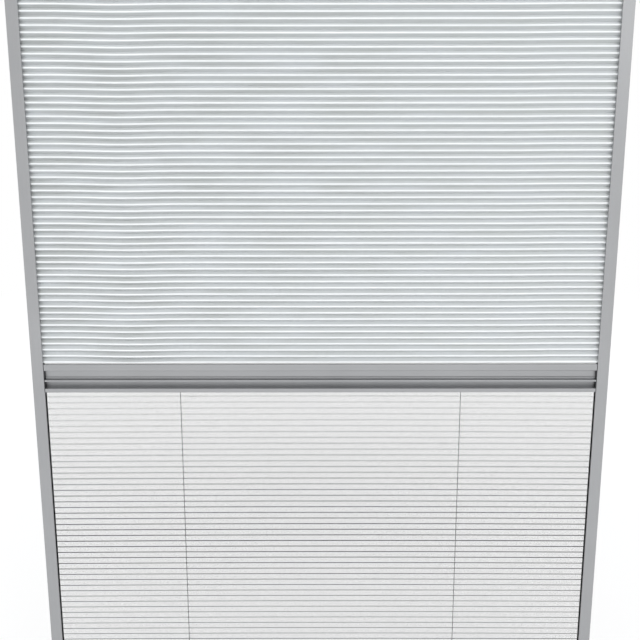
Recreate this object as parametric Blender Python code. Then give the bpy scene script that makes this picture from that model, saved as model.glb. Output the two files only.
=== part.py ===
"""Framed pleated blind and pleated insect screen for a roof window, on one pull bar.

Metres, +X across, +Y to the back, +Z up the slope. The origin is the middle of the lower edge,
halfway through the frame's depth. The pull bar stands where it divides blind and screen.
"""

import math

import bmesh
import bpy
from mathutils import Matrix, Vector

# Frame
WIDTH = 1.100
HEIGHT = 1.600
DEPTH = 0.034
GAP = 0.0003
WALL = 0.0015
SIDE_FACE = 0.022
END_FACE = 0.038
FACE_LIP = 0.001
FACE_LIP_WIDTH = 0.0012
CHAMBER = 0.005
EDGE_RADIUS = 0.0008

# Strips that hold the ends of each fabric, and the slots they slide into
STRIP_FOOT_WIDTH = 0.0054
STRIP_FOOT_THICK = 0.0013
STRIP_NECK_WIDTH = 0.0020
STRIP_PLATE_WIDTH = 0.0100
STRIP_PLATE_THICK = 0.0010
SLOT_LIP = 0.0013
SLOT_SIDE = 0.0011
STRIP_END_CLEARANCE = 0.0008

# Brush seals beside the insect screen
BRUSH_BACKING_WIDTH = 0.0050
BRUSH_BACKING_THICK = 0.0007
BRUSH_PILE_THICK = 0.0022
BRUSH_PILE_LENGTH = 0.0075
BRUSH_TIP_RADIUS = 0.0007
BRUSH_LIP = 0.0012

# Pleats
FABRIC_SETBACK = 0.0110
PLEAT_PITCH = 0.0120
PLEAT_DEPTH = 0.0098
NOSE_ROUND = 0.0008
BLIND_THICK = 0.0004
MESH_THICK = 0.0003
FABRIC_INTO_RAIL = 0.0100
FIRST_BLIND_NOSE = 0.0029
FIRST_MESH_NOSE = 0.0082
LAST_PANEL_RISE = 0.0015

# Pull bar, from its top edge down
BAR_TOP = 0.7585
BAR_WALL = 0.0013
BAR_SETBACK = 0.0005
BAR_END_CLEARANCE = 0.0010
LIP_1_HEIGHT = 0.0127
SEAM_TO_LIP_2 = 0.0038
SEAM_RIB_HEIGHT = 0.0017
SEAM_RIB_REACH = 0.0015
LIP_2_HEIGHT = 0.0040
GROOVE_2_HEIGHT = 0.0131
LIP_3_HEIGHT = 0.0078
GROOVE_DEPTH = 0.0090
GROOVE_2_FALL = 0.0030
BAR_EDGE_RADIUS = 0.0012

# Guide cords and the rollers that turn them inside the bar
CORD_X = 0.272
CORD_DIAMETER = 0.0012
CORD_STANDOFF = 0.0035
CORD_HOLE_DIAMETER = 0.0030
ROLLER_PITCH_RADIUS = 0.0040
ROLLER_RIM_RADIUS = 0.0049
ROLLER_THICK = 0.0030
ROLLER_RIM_WIDTH = 0.0003
ROLLER_FLANK = 0.0006
ROLLER_SPACING = 0.0010
ROLLER_HUB_RADIUS = 0.0020
PIN_RADIUS = 0.0010
PIN_HEAD_RADIUS = 0.0018
PIN_HEAD_THICK = 0.0008
CRADLE_WALL = 0.0015
CRADLE_MARGIN = 0.0007
CRADLE_CORD_ROOM = 0.0014
CRADLE_BACK_ROOM = 0.0004

# Cord ends: plugs in the top rail, sprung shoes in the bottom rail
PLUG_RADIUS = 0.0016
PLUG_FLANGE_RADIUS = 0.0028
PLUG_FLANGE_THICK = 0.0015
PLUG_REACH = 0.0016
PLUG_CAP = 0.0008
SHOE_HALF_WIDTH = 0.0047
SHOE_SIDE = 0.0012
SHOE_FOOT_MARGIN = 0.0005
SHOE_FOOT_THICK = 0.0020
SHOE_HEIGHT = 0.0207
SHOE_ROOF = 0.0020
SHOE_FROM_FABRIC = 0.0008
SHOE_BEHIND_CORD = 0.0042
SHOE_SCREW_Y = 0.0055
SPRING_RADIUS = 0.0014
SPRING_WIRE = 0.0004
SPRING_TURNS = 6
SPRING_LENGTH = 0.0094
STOP_LENGTH = 0.0040
STOP_FLOOR = 0.0010

# Gliders at the bar's ends and their brake pads
GLIDER_THICK_CLEARANCE = 0.0008
GLIDER_MARGIN = 0.0010
GLIDER_TONGUE = 0.0220
TONGUE_CLEARANCE = 0.0004
PAD_POCKET = 0.0025
PAD_HEIGHT = 0.0180
PAD_WIDTH = 0.0080

# Corner caps and their screws
CAP_THICK = 0.0020
CAP_TONGUE = 0.0400
CAP_BITE = 0.0010
CAP_TONGUE_START = 0.0010
SCREW_HEAD_RADIUS = 0.0024
SCREW_HEAD_HEIGHT = 0.0014
SCREW_HEAD_SLOPE = 0.0008
SCREW_RADIUS = 0.0012
SCREW_LENGTH = 0.0052
SCREW_FROM_TONGUE_END = 0.0200
SIDE_SCREW_Y = 0.0030
END_SCREW_Y = 0.0090

# Worked out from the sizes above
FRONT = -DEPTH / 2
BACK = DEPTH / 2
HALF = WIDTH / 2
STEP = 2 * WALL + CHAMBER
BAR_END = HALF - SIDE_FACE - BAR_END_CLEARANCE
FABRIC_END = HALF - SIDE_FACE + FABRIC_INTO_RAIL
FABRIC_Y = FRONT + FABRIC_SETBACK
FABRIC_FRONT = FABRIC_Y - PLEAT_DEPTH / 2
FABRIC_BACK = FABRIC_Y + PLEAT_DEPTH / 2
SLOT_WIDTH = STRIP_FOOT_WIDTH + 2 * GAP
SLOT_DEEP = STRIP_FOOT_THICK + 2 * GAP
SLOT_MOUTH = STRIP_NECK_WIDTH + 2 * GAP
STRIP_RISE = GAP + STRIP_PLATE_THICK + GAP
BLOCK = STEP + SLOT_DEEP + SLOT_LIP
PILE_MOUTH = BRUSH_PILE_THICK + 2 * GAP
BRUSH_SLOT_WIDTH = BRUSH_BACKING_WIDTH + 2 * GAP
BRUSH_SLOT_DEEP = BRUSH_BACKING_THICK + 2 * GAP
BRUSH_BACK = BACK - WALL
BRUSH_Y = BRUSH_BACK - BRUSH_SLOT_WIDTH / 2
BRUSH_BLOCK_FRONT = BRUSH_BACK - BRUSH_SLOT_WIDTH - BRUSH_LIP
CORD_RADIUS = CORD_DIAMETER / 2
CORD_Y = {"a": FABRIC_BACK + CORD_STANDOFF}
CORD_Y["b"] = CORD_Y["a"] + ROLLER_THICK + ROLLER_SPACING
BORE_RADIUS = CORD_RADIUS + GAP
ROLLERS_FRONT = CORD_Y["a"] - ROLLER_THICK / 2
ROLLERS_BACK = CORD_Y["b"] + ROLLER_THICK / 2
CRADLE_FRONT = ROLLERS_FRONT - GAP - CRADLE_WALL
CRADLE_BACK = ROLLERS_BACK + GAP + CRADLE_WALL
BAR_FRONT = FRONT + BAR_SETBACK
BAR_BACK = CRADLE_BACK + CRADLE_BACK_ROOM + BAR_WALL
GROOVE_FLOOR = BAR_FRONT + GROOVE_DEPTH
BAR_SLOT_DEEP = SLOT_LIP + SLOT_DEEP
ROLLER_ROOM = 2 * (ROLLER_PITCH_RADIUS + ROLLER_RIM_RADIUS) + 4 * CRADLE_MARGIN
UPPER_HEIGHT = BAR_SLOT_DEEP + BAR_WALL + ROLLER_ROOM + BAR_WALL
UPPER_BOTTOM = BAR_TOP - UPPER_HEIGHT
LOWER_TOP = UPPER_BOTTOM - GAP
LIP_2_TOP = LOWER_TOP - SEAM_TO_LIP_2
LIP_2_BOTTOM = LIP_2_TOP - LIP_2_HEIGHT
LIP_3_TOP = LIP_2_BOTTOM - GROOVE_2_HEIGHT
BAR_BOTTOM = LIP_3_TOP - LIP_3_HEIGHT
BAR_MIDDLE = (BAR_TOP + BAR_BOTTOM) / 2
CROSSING_Z = UPPER_BOTTOM + BAR_WALL + ROLLER_ROOM / 2
BLIND_END = HEIGHT - BLOCK - STRIP_RISE
MESH_END = BLOCK + STRIP_RISE
SHOE_SCREW_OFFSET = SHOE_HALF_WIDTH + SCREW_HEAD_RADIUS + GAP
SHOE_FOOT = SHOE_SCREW_OFFSET + SCREW_HEAD_RADIUS + SHOE_FOOT_MARGIN
SIDES = {"left": -1, "right": 1}
ENDS = {"top": 1, "bottom": -1}

MATERIALS = {
    "aluminium": ((0.62, 0.63, 0.65), 0.38, 0.85),
    "white_pleat": ((0.90, 0.91, 0.92), 0.80, 0.0),
    "screen_mesh": ((0.045, 0.045, 0.05), 0.70, 0.0),
    "black_plastic": ((0.02, 0.02, 0.022), 0.45, 0.0),
    "grey_plastic": ((0.50, 0.51, 0.53), 0.50, 0.0),
    "white_plastic": ((0.78, 0.78, 0.77), 0.45, 0.0),
    "brush_pile": ((0.015, 0.015, 0.016), 0.95, 0.0),
    "felt": ((0.10, 0.10, 0.105), 0.95, 0.0),
    "cord": ((0.16, 0.16, 0.17), 0.75, 0.0),
    "steel": ((0.55, 0.56, 0.57), 0.30, 1.0),
}


def clear_scene():
    for old in list(bpy.data.objects):
        bpy.data.objects.remove(old, do_unlink=True)


def material(name):
    """The named finish, made once."""
    if name in bpy.data.materials:
        return bpy.data.materials[name]
    colour, roughness, metallic = MATERIALS[name]
    made = bpy.data.materials.new(name)
    made.use_nodes = True
    shader = made.node_tree.nodes["Principled BSDF"]
    shader.inputs["Base Color"].default_value = (*colour, 1.0)
    shader.inputs["Roughness"].default_value = roughness
    shader.inputs["Metallic"].default_value = metallic
    made.diffuse_color = (*colour, 1.0)
    return made


def group(name, place=(0, 0, 0)):
    """An empty that carries the pieces of one moving or fixed body."""
    empty = bpy.data.objects.new(name, None)
    empty.location = place
    empty.empty_display_size = 0.05
    bpy.context.scene.collection.objects.link(empty)
    return empty


def attach(obj, parent, origin):
    """Put an object's origin at a world point, under its group."""
    bpy.context.scene.collection.objects.link(obj)
    obj.parent = parent
    obj.location = Vector(origin) - (parent.location if parent else Vector())
    return obj


def solid(name, bm, finish, parent, origin=(0, 0, 0)):
    """An object from a closed bmesh in world space, with its origin at the given point."""
    bmesh.ops.recalc_face_normals(bm, faces=bm.faces)
    bmesh.ops.translate(bm, verts=bm.verts, vec=-Vector(origin))
    mesh = bpy.data.meshes.new(name)
    bm.to_mesh(mesh)
    bm.free()
    mesh.materials.append(material(finish))
    return attach(bpy.data.objects.new(name, mesh), parent, origin)


def helper(name, bm):
    """A hidden shape that a Boolean modifier adds or cuts."""
    obj = solid(name, bm, "steel", None)
    obj.hide_render = True
    obj.display_type = "WIRE"
    return obj


def combine(obj, other, operation):
    modifier = obj.modifiers.new(f"{operation.lower()}_{other.name}", "BOOLEAN")
    modifier.operation = operation
    modifier.solver = "EXACT"
    modifier.object = other


def rounded(corners, steps=2):
    """An outline from (a, b) corners; a corner with a third value is rounded by that radius."""
    points = []
    for i, corner in enumerate(corners):
        here = Vector(corner[:2])
        if len(corner) == 2:
            points.append(here)
            continue
        radius = corner[2]
        before = (Vector(corners[i - 1][:2]) - here).normalized()
        after = (Vector(corners[(i + 1) % len(corners)][:2]) - here).normalized()
        half = before.angle(after) / 2
        centre = here + (before + after).normalized() * radius / math.sin(half)
        first = here + before * radius / math.tan(half) - centre
        last = here + after * radius / math.tan(half) - centre
        turn = math.atan2(first.cross(last), first.dot(last))
        for k in range(steps + 1):
            points.append(centre + Matrix.Rotation(turn * k / steps, 2) @ first)
    return points


def extruded(name, loops, place, along, finish, parent, origin=(0, 0, 0)):
    """A profile, its outline first and then its holes, pushed along a vector."""
    bm = bmesh.new()
    edges = []
    for loop in loops:
        ring = [bm.verts.new(place(a, b)) for a, b in loop]
        edges += [bm.edges.new((ring[i - 1], ring[i])) for i in range(len(ring))]
    filled = bmesh.ops.triangle_fill(bm, edges=edges, use_beauty=True)
    push_faces(bm, [g for g in filled["geom"] if isinstance(g, bmesh.types.BMFace)], along)
    return solid(name, bm, finish, parent, origin)


def push_faces(bm, faces, along):
    grown = bmesh.ops.extrude_face_region(bm, geom=faces, use_keep_orig=True)
    moved = [g for g in grown["geom"] if isinstance(g, bmesh.types.BMVert)]
    bmesh.ops.translate(bm, verts=moved, vec=along)


def box(low, high):
    """A box as a bmesh, its corners given in any order."""
    bm = bmesh.new()
    size = [abs(h - l) for l, h in zip(low, high)]
    middle = [(l + h) / 2 for l, h in zip(low, high)]
    bmesh.ops.create_cube(bm, size=1, matrix=Matrix.Translation(middle) @ Matrix.Diagonal((*size, 1)))
    return bm


def turn_to(axis):
    """The rotation that lays +Z along an axis."""
    return Vector((0, 0, 1)).rotation_difference(Vector(axis)).to_matrix().to_4x4()


def rod(start, end, radius, sides=12):
    """A cylinder between two points, as a bmesh."""
    bm = bmesh.new()
    start, end = Vector(start), Vector(end)
    length = (end - start).length
    matrix = Matrix.Translation((start + end) / 2) @ turn_to((end - start).normalized())
    bmesh.ops.create_cone(
        bm, cap_ends=True, segments=sides, radius1=radius, radius2=radius, depth=length, matrix=matrix
    )
    return bm


def drill(obj, name, start, end, radius, sides=12):
    combine(obj, helper(f"cut_{name}", rod(start, end, radius, sides)), "DIFFERENCE")


def turned(name, profile, centre, axis, sides, finish, parent, ring=False):
    """A (radius, height) profile turned about an axis; a ring's profile closes on itself."""
    bm = bmesh.new()
    points = [bm.verts.new((radius, 0, height)) for radius, height in profile]
    edges = [bm.edges.new(pair) for pair in zip(points, points[1:])]
    if ring:
        edges.append(bm.edges.new((points[-1], points[0])))
    bmesh.ops.spin(
        bm, geom=points + edges, cent=(0, 0, 0), axis=(0, 0, 1), dvec=(0, 0, 0),
        angle=2 * math.pi, steps=sides, use_merge=True,
    )
    bmesh.ops.remove_doubles(bm, verts=bm.verts, dist=1e-6)
    bmesh.ops.recalc_face_normals(bm, faces=bm.faces)
    mesh = bpy.data.meshes.new(name)
    bm.to_mesh(mesh)
    bm.free()
    mesh.materials.append(material(finish))
    mesh.shade_smooth()
    mesh.set_sharp_from_angle(angle=math.radians(40))
    obj = attach(bpy.data.objects.new(name, mesh), parent, centre)
    obj.rotation_euler = turn_to(axis).to_euler()
    return obj


def tube(name, points, diameter, finish, parent, resolution=2):
    """A round cord or wire along a list of points."""
    curve = bpy.data.curves.new(name, "CURVE")
    curve.dimensions = "3D"
    curve.bevel_depth = diameter / 2
    curve.bevel_resolution = resolution
    curve.use_fill_caps = True
    spline = curve.splines.new("POLY")
    spline.points.add(len(points) - 1)
    for point, place in zip(spline.points, points):
        point.co = (*place, 1)
    curve.materials.append(material(finish))
    return attach(bpy.data.objects.new(name, curve), parent, parent.location)


def screw(name, head, axis, parent):
    """A pan-head screw whose head starts at a point and whose shank runs along the axis."""
    profile = [
        (0, 0),
        (SCREW_HEAD_RADIUS - SCREW_HEAD_SLOPE, 0),
        (SCREW_HEAD_RADIUS, SCREW_HEAD_SLOPE),
        (SCREW_HEAD_RADIUS, SCREW_HEAD_HEIGHT),
        (SCREW_RADIUS, SCREW_HEAD_HEIGHT),
        (SCREW_RADIUS, SCREW_HEAD_HEIGHT + SCREW_LENGTH),
        (0, SCREW_HEAD_HEIGHT + SCREW_LENGTH),
    ]
    return turned(name, profile, head, axis, 8, "steel", parent)


def end_z(end, inward):
    """The height that lies a distance inward from the frame's top or bottom edge."""
    return HEIGHT - inward if end == "top" else inward


def slot_in(surface, inward, centre=FABRIC_Y):
    """The undercut slot for a fabric strip, as (y, height) points from front to back."""
    lip = surface + inward * SLOT_LIP
    floor = lip + inward * SLOT_DEEP
    half, mouth = SLOT_WIDTH / 2, SLOT_MOUTH / 2
    return [
        (centre - mouth, surface), (centre - mouth, lip), (centre - half, lip), (centre - half, floor),
        (centre + half, floor), (centre + half, lip), (centre + mouth, lip), (centre + mouth, surface),
    ]


def side_rail(name, side, frame):
    """A channel with the fabrics' edges inside it, a corner chamber, and a slot for the brush."""
    brush_in, brush_out = BRUSH_Y - PILE_MOUTH / 2, BRUSH_Y + PILE_MOUTH / 2
    slot_floor, slot_lip = STEP, STEP + BRUSH_SLOT_DEEP
    flange = slot_lip + BRUSH_LIP
    lip = FRONT + WALL + FACE_LIP
    outline = [
        (0, FRONT, EDGE_RADIUS), (SIDE_FACE, FRONT, EDGE_RADIUS), (SIDE_FACE, lip),
        (SIDE_FACE - FACE_LIP_WIDTH, lip), (SIDE_FACE - FACE_LIP_WIDTH, FRONT + WALL),
        (STEP, FRONT + WALL), (STEP, BRUSH_BLOCK_FRONT), (flange, BRUSH_BLOCK_FRONT),
        (flange, brush_in), (slot_lip, brush_in), (slot_lip, BRUSH_BACK - BRUSH_SLOT_WIDTH),
        (slot_floor, BRUSH_BACK - BRUSH_SLOT_WIDTH), (slot_floor, BRUSH_BACK),
        (slot_lip, BRUSH_BACK), (slot_lip, brush_out), (flange, brush_out),
        (flange, BACK), (0, BACK, EDGE_RADIUS),
    ]
    chamber = [
        (WALL, FRONT + WALL), (WALL, BACK - WALL), (WALL + CHAMBER, BACK - WALL),
        (WALL + CHAMBER, FRONT + WALL),
    ]
    low, high = END_FACE + GAP, HEIGHT - END_FACE - GAP
    rail = extruded(
        name, [rounded(outline), chamber], lambda u, y: (side * (HALF - u), y, low),
        (0, 0, high - low), "aluminium", frame,
    )
    for end in ENDS:
        z = end_z(end, END_FACE + CAP_TONGUE - SCREW_FROM_TONGUE_END)
        drill(
            rail, f"{name}_{end}", (side * (HALF - WALL - CHAMBER / 2), SIDE_SCREW_Y, z),
            (side * (HALF - STEP - WALL), SIDE_SCREW_Y, z), SCREW_RADIUS + GAP,
        )
    return rail


def end_rail(name, end, frame):
    """A cassette that hides the folded stack, with the slot that holds its fabric's strip."""
    lip_front, lip_back = FRONT + WALL + FACE_LIP, BACK - WALL - FACE_LIP
    edge = END_FACE - FACE_LIP_WIDTH
    half_block = SLOT_WIDTH / 2 + SLOT_SIDE
    slot = [(height, y) for y, height in slot_in(BLOCK, -1)]
    outline = [
        (0, FRONT, EDGE_RADIUS), (END_FACE, FRONT, EDGE_RADIUS), (END_FACE, lip_front),
        (edge, lip_front), (edge, FRONT + WALL), (STEP, FRONT + WALL),
        (STEP, FABRIC_Y - half_block), (BLOCK, FABRIC_Y - half_block), *slot,
        (BLOCK, FABRIC_Y + half_block), (STEP, FABRIC_Y + half_block),
        (STEP, BACK - WALL), (edge, BACK - WALL), (edge, lip_back),
        (END_FACE, lip_back), (END_FACE, BACK, EDGE_RADIUS), (0, BACK, EDGE_RADIUS),
    ]
    chamber = [
        (WALL, FRONT + WALL), (WALL, BACK - WALL), (WALL + CHAMBER, BACK - WALL),
        (WALL + CHAMBER, FRONT + WALL),
    ]
    reach = HALF - CAP_THICK - GAP
    rail = extruded(
        name, [rounded(outline), chamber], lambda w, y: (-reach, y, end_z(end, w)),
        (2 * reach, 0, 0), "aluminium", frame,
    )
    inner, outer = end_z(end, STEP + WALL), end_z(end, WALL + CHAMBER / 2)
    for side_name, side in SIDES.items():
        x = side * (HALF - CAP_THICK - CAP_TONGUE + SCREW_FROM_TONGUE_END)
        drill(
            rail, f"{name}_{side_name}", (x, END_SCREW_Y, inner), (x, END_SCREW_Y, outer),
            SCREW_RADIUS + GAP,
        )
    return rail


def corner_cap(name, end, side, frame):
    """A moulded end cap with one tongue in the cassette's chamber and one down into the side rail."""
    inside = CHAMBER - 2 * GAP
    depth = BACK - WALL - GAP
    lip_clear = BACK - WALL - FACE_LIP - GAP
    x_out, x_in = side * HALF, side * (HALF - CAP_THICK)
    x_bite = side * (HALF - CAP_THICK + CAP_BITE)
    plate = box((x_out, FRONT, end_z(end, 0)), (x_in, BACK, end_z(end, END_FACE)))
    cap = solid(name, plate, "grey_plastic", frame)
    bevel = cap.modifiers.new("soft_edges", "BEVEL")
    bevel.width = EDGE_RADIUS / 2
    bevel.segments = 1
    across = box(
        (x_bite, -depth, end_z(end, WALL + GAP)),
        (side * (HALF - CAP_THICK - CAP_TONGUE), depth, end_z(end, WALL + GAP + inside)),
    )
    along = box(
        (side * (HALF - WALL - GAP), -lip_clear, end_z(end, BLOCK + CAP_TONGUE_START)),
        (side * (HALF - WALL - GAP - inside), lip_clear, end_z(end, END_FACE + CAP_TONGUE)),
    )
    for part_name, shape in (("across", across), ("along", along)):
        combine(cap, helper(f"{name}_{part_name}", shape), "UNION")
    return cap


def corner_screws(end, side_name, side, cap, frame):
    """The two screws of one corner, one in each tongue, and their holes in the cap."""
    depth = SCREW_LENGTH - WALL
    z = end_z(end, END_FACE + CAP_TONGUE - SCREW_FROM_TONGUE_END)
    head_u = STEP + GAP + SCREW_HEAD_HEIGHT
    tongue_face = WALL + CHAMBER - GAP
    drill(
        cap, f"{cap.name}_side_hole", (side * (HALF - tongue_face - CAP_BITE), SIDE_SCREW_Y, z),
        (side * (HALF - tongue_face + depth), SIDE_SCREW_Y, z), SCREW_RADIUS + GAP,
    )
    screw(
        f"corner_screw_{end}_{side_name}_side", (side * (HALF - head_u), SIDE_SCREW_Y, z),
        (side, 0, 0), frame,
    )
    x = side * (HALF - CAP_THICK - CAP_TONGUE + SCREW_FROM_TONGUE_END)
    drill(
        cap, f"{cap.name}_end_hole", (x, END_SCREW_Y, end_z(end, tongue_face + CAP_BITE)),
        (x, END_SCREW_Y, end_z(end, tongue_face - depth)), SCREW_RADIUS + GAP,
    )
    screw(
        f"corner_screw_{end}_{side_name}_end", (x, END_SCREW_Y, end_z(end, head_u)),
        (0, 0, ENDS[end]), frame,
    )


def brush_seal(name, side, frame):
    """A backing strip in its slot and the pile that stands on it, towards the screen's edge."""
    low = STEP + GAP
    root = low + BRUSH_BACKING_THICK
    tip = root + BRUSH_PILE_LENGTH
    half_back, half_pile = BRUSH_BACKING_WIDTH / 2, BRUSH_PILE_THICK / 2
    outline = [
        (low, BRUSH_Y - half_back), (root, BRUSH_Y - half_back), (root, BRUSH_Y - half_pile),
        (tip, BRUSH_Y - half_pile, BRUSH_TIP_RADIUS), (tip, BRUSH_Y + half_pile, BRUSH_TIP_RADIUS),
        (root, BRUSH_Y + half_pile), (root, BRUSH_Y + half_back), (low, BRUSH_Y + half_back),
    ]
    start, end = END_FACE + 2 * GAP, HEIGHT - END_FACE - 2 * GAP
    return extruded(
        name, [rounded(outline)], lambda u, y: (side * (HALF - u), y, start),
        (0, 0, end - start), "brush_pile", frame,
    )


def fabric_strip(name, surface, outward, half_length, parent):
    """The strip glued to a fabric's last pleat: a foot in the slot, a neck, and a plate outside."""
    foot, neck, plate = STRIP_FOOT_WIDTH / 2, STRIP_NECK_WIDTH / 2, STRIP_PLATE_WIDTH / 2
    under_lip = -(SLOT_LIP + GAP)
    bottom = under_lip - STRIP_FOOT_THICK
    half = [
        (plate, GAP + STRIP_PLATE_THICK), (plate, GAP), (neck, GAP), (neck, under_lip),
        (foot, under_lip), (foot, bottom),
    ]
    outline = half + [(-a, b) for a, b in reversed(half)]
    return extruded(
        name, [outline], lambda a, b: (-half_length, FABRIC_Y + a, surface + outward * b),
        (2 * half_length, 0, 0), "white_plastic", parent,
    )


def pleat_path(start, first_nose, end, up):
    """The fold line in (y, z), from the strip on the bar to the strip on the rail."""
    half_fold = math.atan2(PLEAT_PITCH / 2, PLEAT_DEPTH)
    back_off = NOSE_ROUND * (math.cos(half_fold) ** 2 / math.sin(half_fold) + 1 - 1 / math.sin(half_fold))
    rise = NOSE_ROUND * math.cos(half_fold)
    room = abs(end - first_nose) - PLEAT_PITCH / 2 - LAST_PANEL_RISE
    path = [(FABRIC_BACK, start)]
    for k in range(int(room / PLEAT_PITCH) + 1):
        z = first_nose + up * k * PLEAT_PITCH
        path += [(FABRIC_FRONT + back_off, z - up * rise), (FABRIC_FRONT, z)]
        path += [(FABRIC_FRONT + back_off, z + up * rise), (FABRIC_BACK, z + up * PLEAT_PITCH / 2)]
    return [*path, (FABRIC_FRONT + back_off, end)]


def pleated(name, path, thickness, finish, frame):
    """A folded sheet: its fold line given thickness, then drawn across between the rails."""
    bm = bmesh.new()
    rows = []
    for i, place in enumerate(path):
        here = Vector(place)
        before = (here - Vector(path[i - 1])).normalized() if i else None
        after = (Vector(path[i + 1]) - here).normalized() if i + 1 < len(path) else None
        before, after = before or after, after or before
        normal = Vector((-(before + after).y, (before + after).x)).normalized()
        reach = thickness / 2 / normal.dot(Vector((-after.y, after.x)))
        rows.append([
            bm.verts.new((-FABRIC_END, here.x + s * reach * normal.x, here.y + s * reach * normal.y))
            for s in (-1, 1)
        ])
    faces = [bm.faces.new((*first, *reversed(second))) for first, second in zip(rows, rows[1:])]
    push_faces(bm, faces, (2 * FABRIC_END, 0, 0))
    return solid(name, bm, finish, frame)


def blind_fabric(frame):
    start = BAR_TOP + STRIP_RISE + BLIND_THICK
    path = pleat_path(start, BAR_TOP + FIRST_BLIND_NOSE, BLIND_END - BLIND_THICK, 1)
    return pleated("blind_fabric", path, BLIND_THICK, "white_pleat", frame)


def insect_mesh(frame):
    start = BAR_BOTTOM - STRIP_RISE - MESH_THICK
    path = pleat_path(start, BAR_BOTTOM - FIRST_MESH_NOSE, MESH_END + MESH_THICK, -1)
    return pleated("insect_mesh", path, MESH_THICK, "screen_mesh", frame)


def bar_extrusion(name, outline, hollow, carriage):
    return extruded(
        name, [rounded(outline), hollow], lambda y, z: (-BAR_END, y, z), (2 * BAR_END, 0, 0),
        "aluminium", carriage, carriage.location,
    )


def bar_blind_profile(carriage):
    """The bar's upper extrusion: a wide front lip, the first groove, and the cord chamber behind."""
    lip_bottom = BAR_TOP - LIP_1_HEIGHT
    radius = BAR_EDGE_RADIUS
    outline = [
        (BAR_FRONT, BAR_TOP, radius), *slot_in(BAR_TOP, -1), (BAR_BACK, BAR_TOP, radius),
        (BAR_BACK, UPPER_BOTTOM), (GROOVE_FLOOR, UPPER_BOTTOM), (GROOVE_FLOOR, lip_bottom),
        (BAR_FRONT, lip_bottom, radius),
    ]
    block_front = FABRIC_Y - SLOT_WIDTH / 2 - SLOT_SIDE
    block_back = FABRIC_Y + SLOT_WIDTH / 2 + SLOT_SIDE
    under_slot = BAR_TOP - BAR_SLOT_DEEP - BAR_WALL
    back, floor = BAR_BACK - BAR_WALL, GROOVE_FLOOR + BAR_WALL
    hollow = [
        (BAR_FRONT + BAR_WALL, BAR_TOP - BAR_WALL), (block_front, BAR_TOP - BAR_WALL),
        (block_front, under_slot), (block_back, under_slot), (block_back, BAR_TOP - BAR_WALL),
        (back, BAR_TOP - BAR_WALL), (back, UPPER_BOTTOM + BAR_WALL), (floor, UPPER_BOTTOM + BAR_WALL),
        (floor, lip_bottom + BAR_WALL), (BAR_FRONT + BAR_WALL, lip_bottom + BAR_WALL),
    ]
    bar = bar_extrusion("bar_blind_profile", outline, hollow, carriage)
    for cord, side in (("a", -1), ("b", 1)):
        entry, leave = side * CORD_X, -side * CORD_X
        y = CORD_Y[cord]
        drill(
            bar, f"bar_entry_{cord}", (entry, y, BAR_TOP + BAR_WALL), (entry, y, BAR_TOP - 2 * BAR_WALL),
            CORD_HOLE_DIAMETER / 2, 10,
        )
        drill(
            bar, f"bar_seam_{cord}", (leave, y, UPPER_BOTTOM + 2 * BAR_WALL),
            (leave, y, UPPER_BOTTOM - BAR_WALL), CORD_HOLE_DIAMETER / 2, 10,
        )
    return bar


def bar_screen_profile(carriage):
    """The bar's lower extrusion: seam rib, middle lip, sloped finger groove and lower lip."""
    radius = BAR_EDGE_RADIUS
    rib = GROOVE_FLOOR - SEAM_RIB_REACH
    rib_bottom = LOWER_TOP - SEAM_RIB_HEIGHT
    deep_floor = GROOVE_FLOOR + GROOVE_2_FALL
    outline = [
        (rib, LOWER_TOP), (BAR_BACK, LOWER_TOP), (BAR_BACK, BAR_BOTTOM, radius),
        *reversed(slot_in(BAR_BOTTOM, 1)), (BAR_FRONT, BAR_BOTTOM, radius),
        (BAR_FRONT, LIP_3_TOP, radius), (deep_floor, LIP_3_TOP), (GROOVE_FLOOR, LIP_2_BOTTOM),
        (BAR_FRONT, LIP_2_BOTTOM, radius), (BAR_FRONT, LIP_2_TOP, radius),
        (GROOVE_FLOOR, LIP_2_TOP), (GROOVE_FLOOR, rib_bottom), (rib, rib_bottom),
    ]
    block_front = FABRIC_Y - SLOT_WIDTH / 2 - SLOT_SIDE
    block_back = FABRIC_Y + SLOT_WIDTH / 2 + SLOT_SIDE
    over_slot = BAR_BOTTOM + BAR_SLOT_DEEP + BAR_WALL
    front, back, floor = BAR_FRONT + BAR_WALL, BAR_BACK - BAR_WALL, GROOVE_FLOOR + BAR_WALL
    hollow = [
        (back, LOWER_TOP - BAR_WALL), (back, BAR_BOTTOM + BAR_WALL), (block_back, BAR_BOTTOM + BAR_WALL),
        (block_back, over_slot), (block_front, over_slot), (block_front, BAR_BOTTOM + BAR_WALL),
        (front, BAR_BOTTOM + BAR_WALL), (front, LIP_3_TOP - BAR_WALL),
        (deep_floor + BAR_WALL, LIP_3_TOP - BAR_WALL), (floor, LIP_2_BOTTOM),
        (floor, LIP_2_BOTTOM + BAR_WALL), (front, LIP_2_BOTTOM + BAR_WALL),
        (front, LIP_2_TOP - BAR_WALL), (floor, LIP_2_TOP - BAR_WALL), (floor, LOWER_TOP - BAR_WALL),
    ]
    bar = bar_extrusion("bar_screen_profile", outline, hollow, carriage)
    for cord, side in (("a", 1), ("b", -1)):
        drill(
            bar, f"bar_leave_{cord}", (side * CORD_X, CORD_Y[cord], LOWER_TOP + BAR_WALL),
            (side * CORD_X, CORD_Y[cord], BAR_BOTTOM - BAR_WALL), CORD_HOLE_DIAMETER / 2, 10,
        )
    return bar


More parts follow.
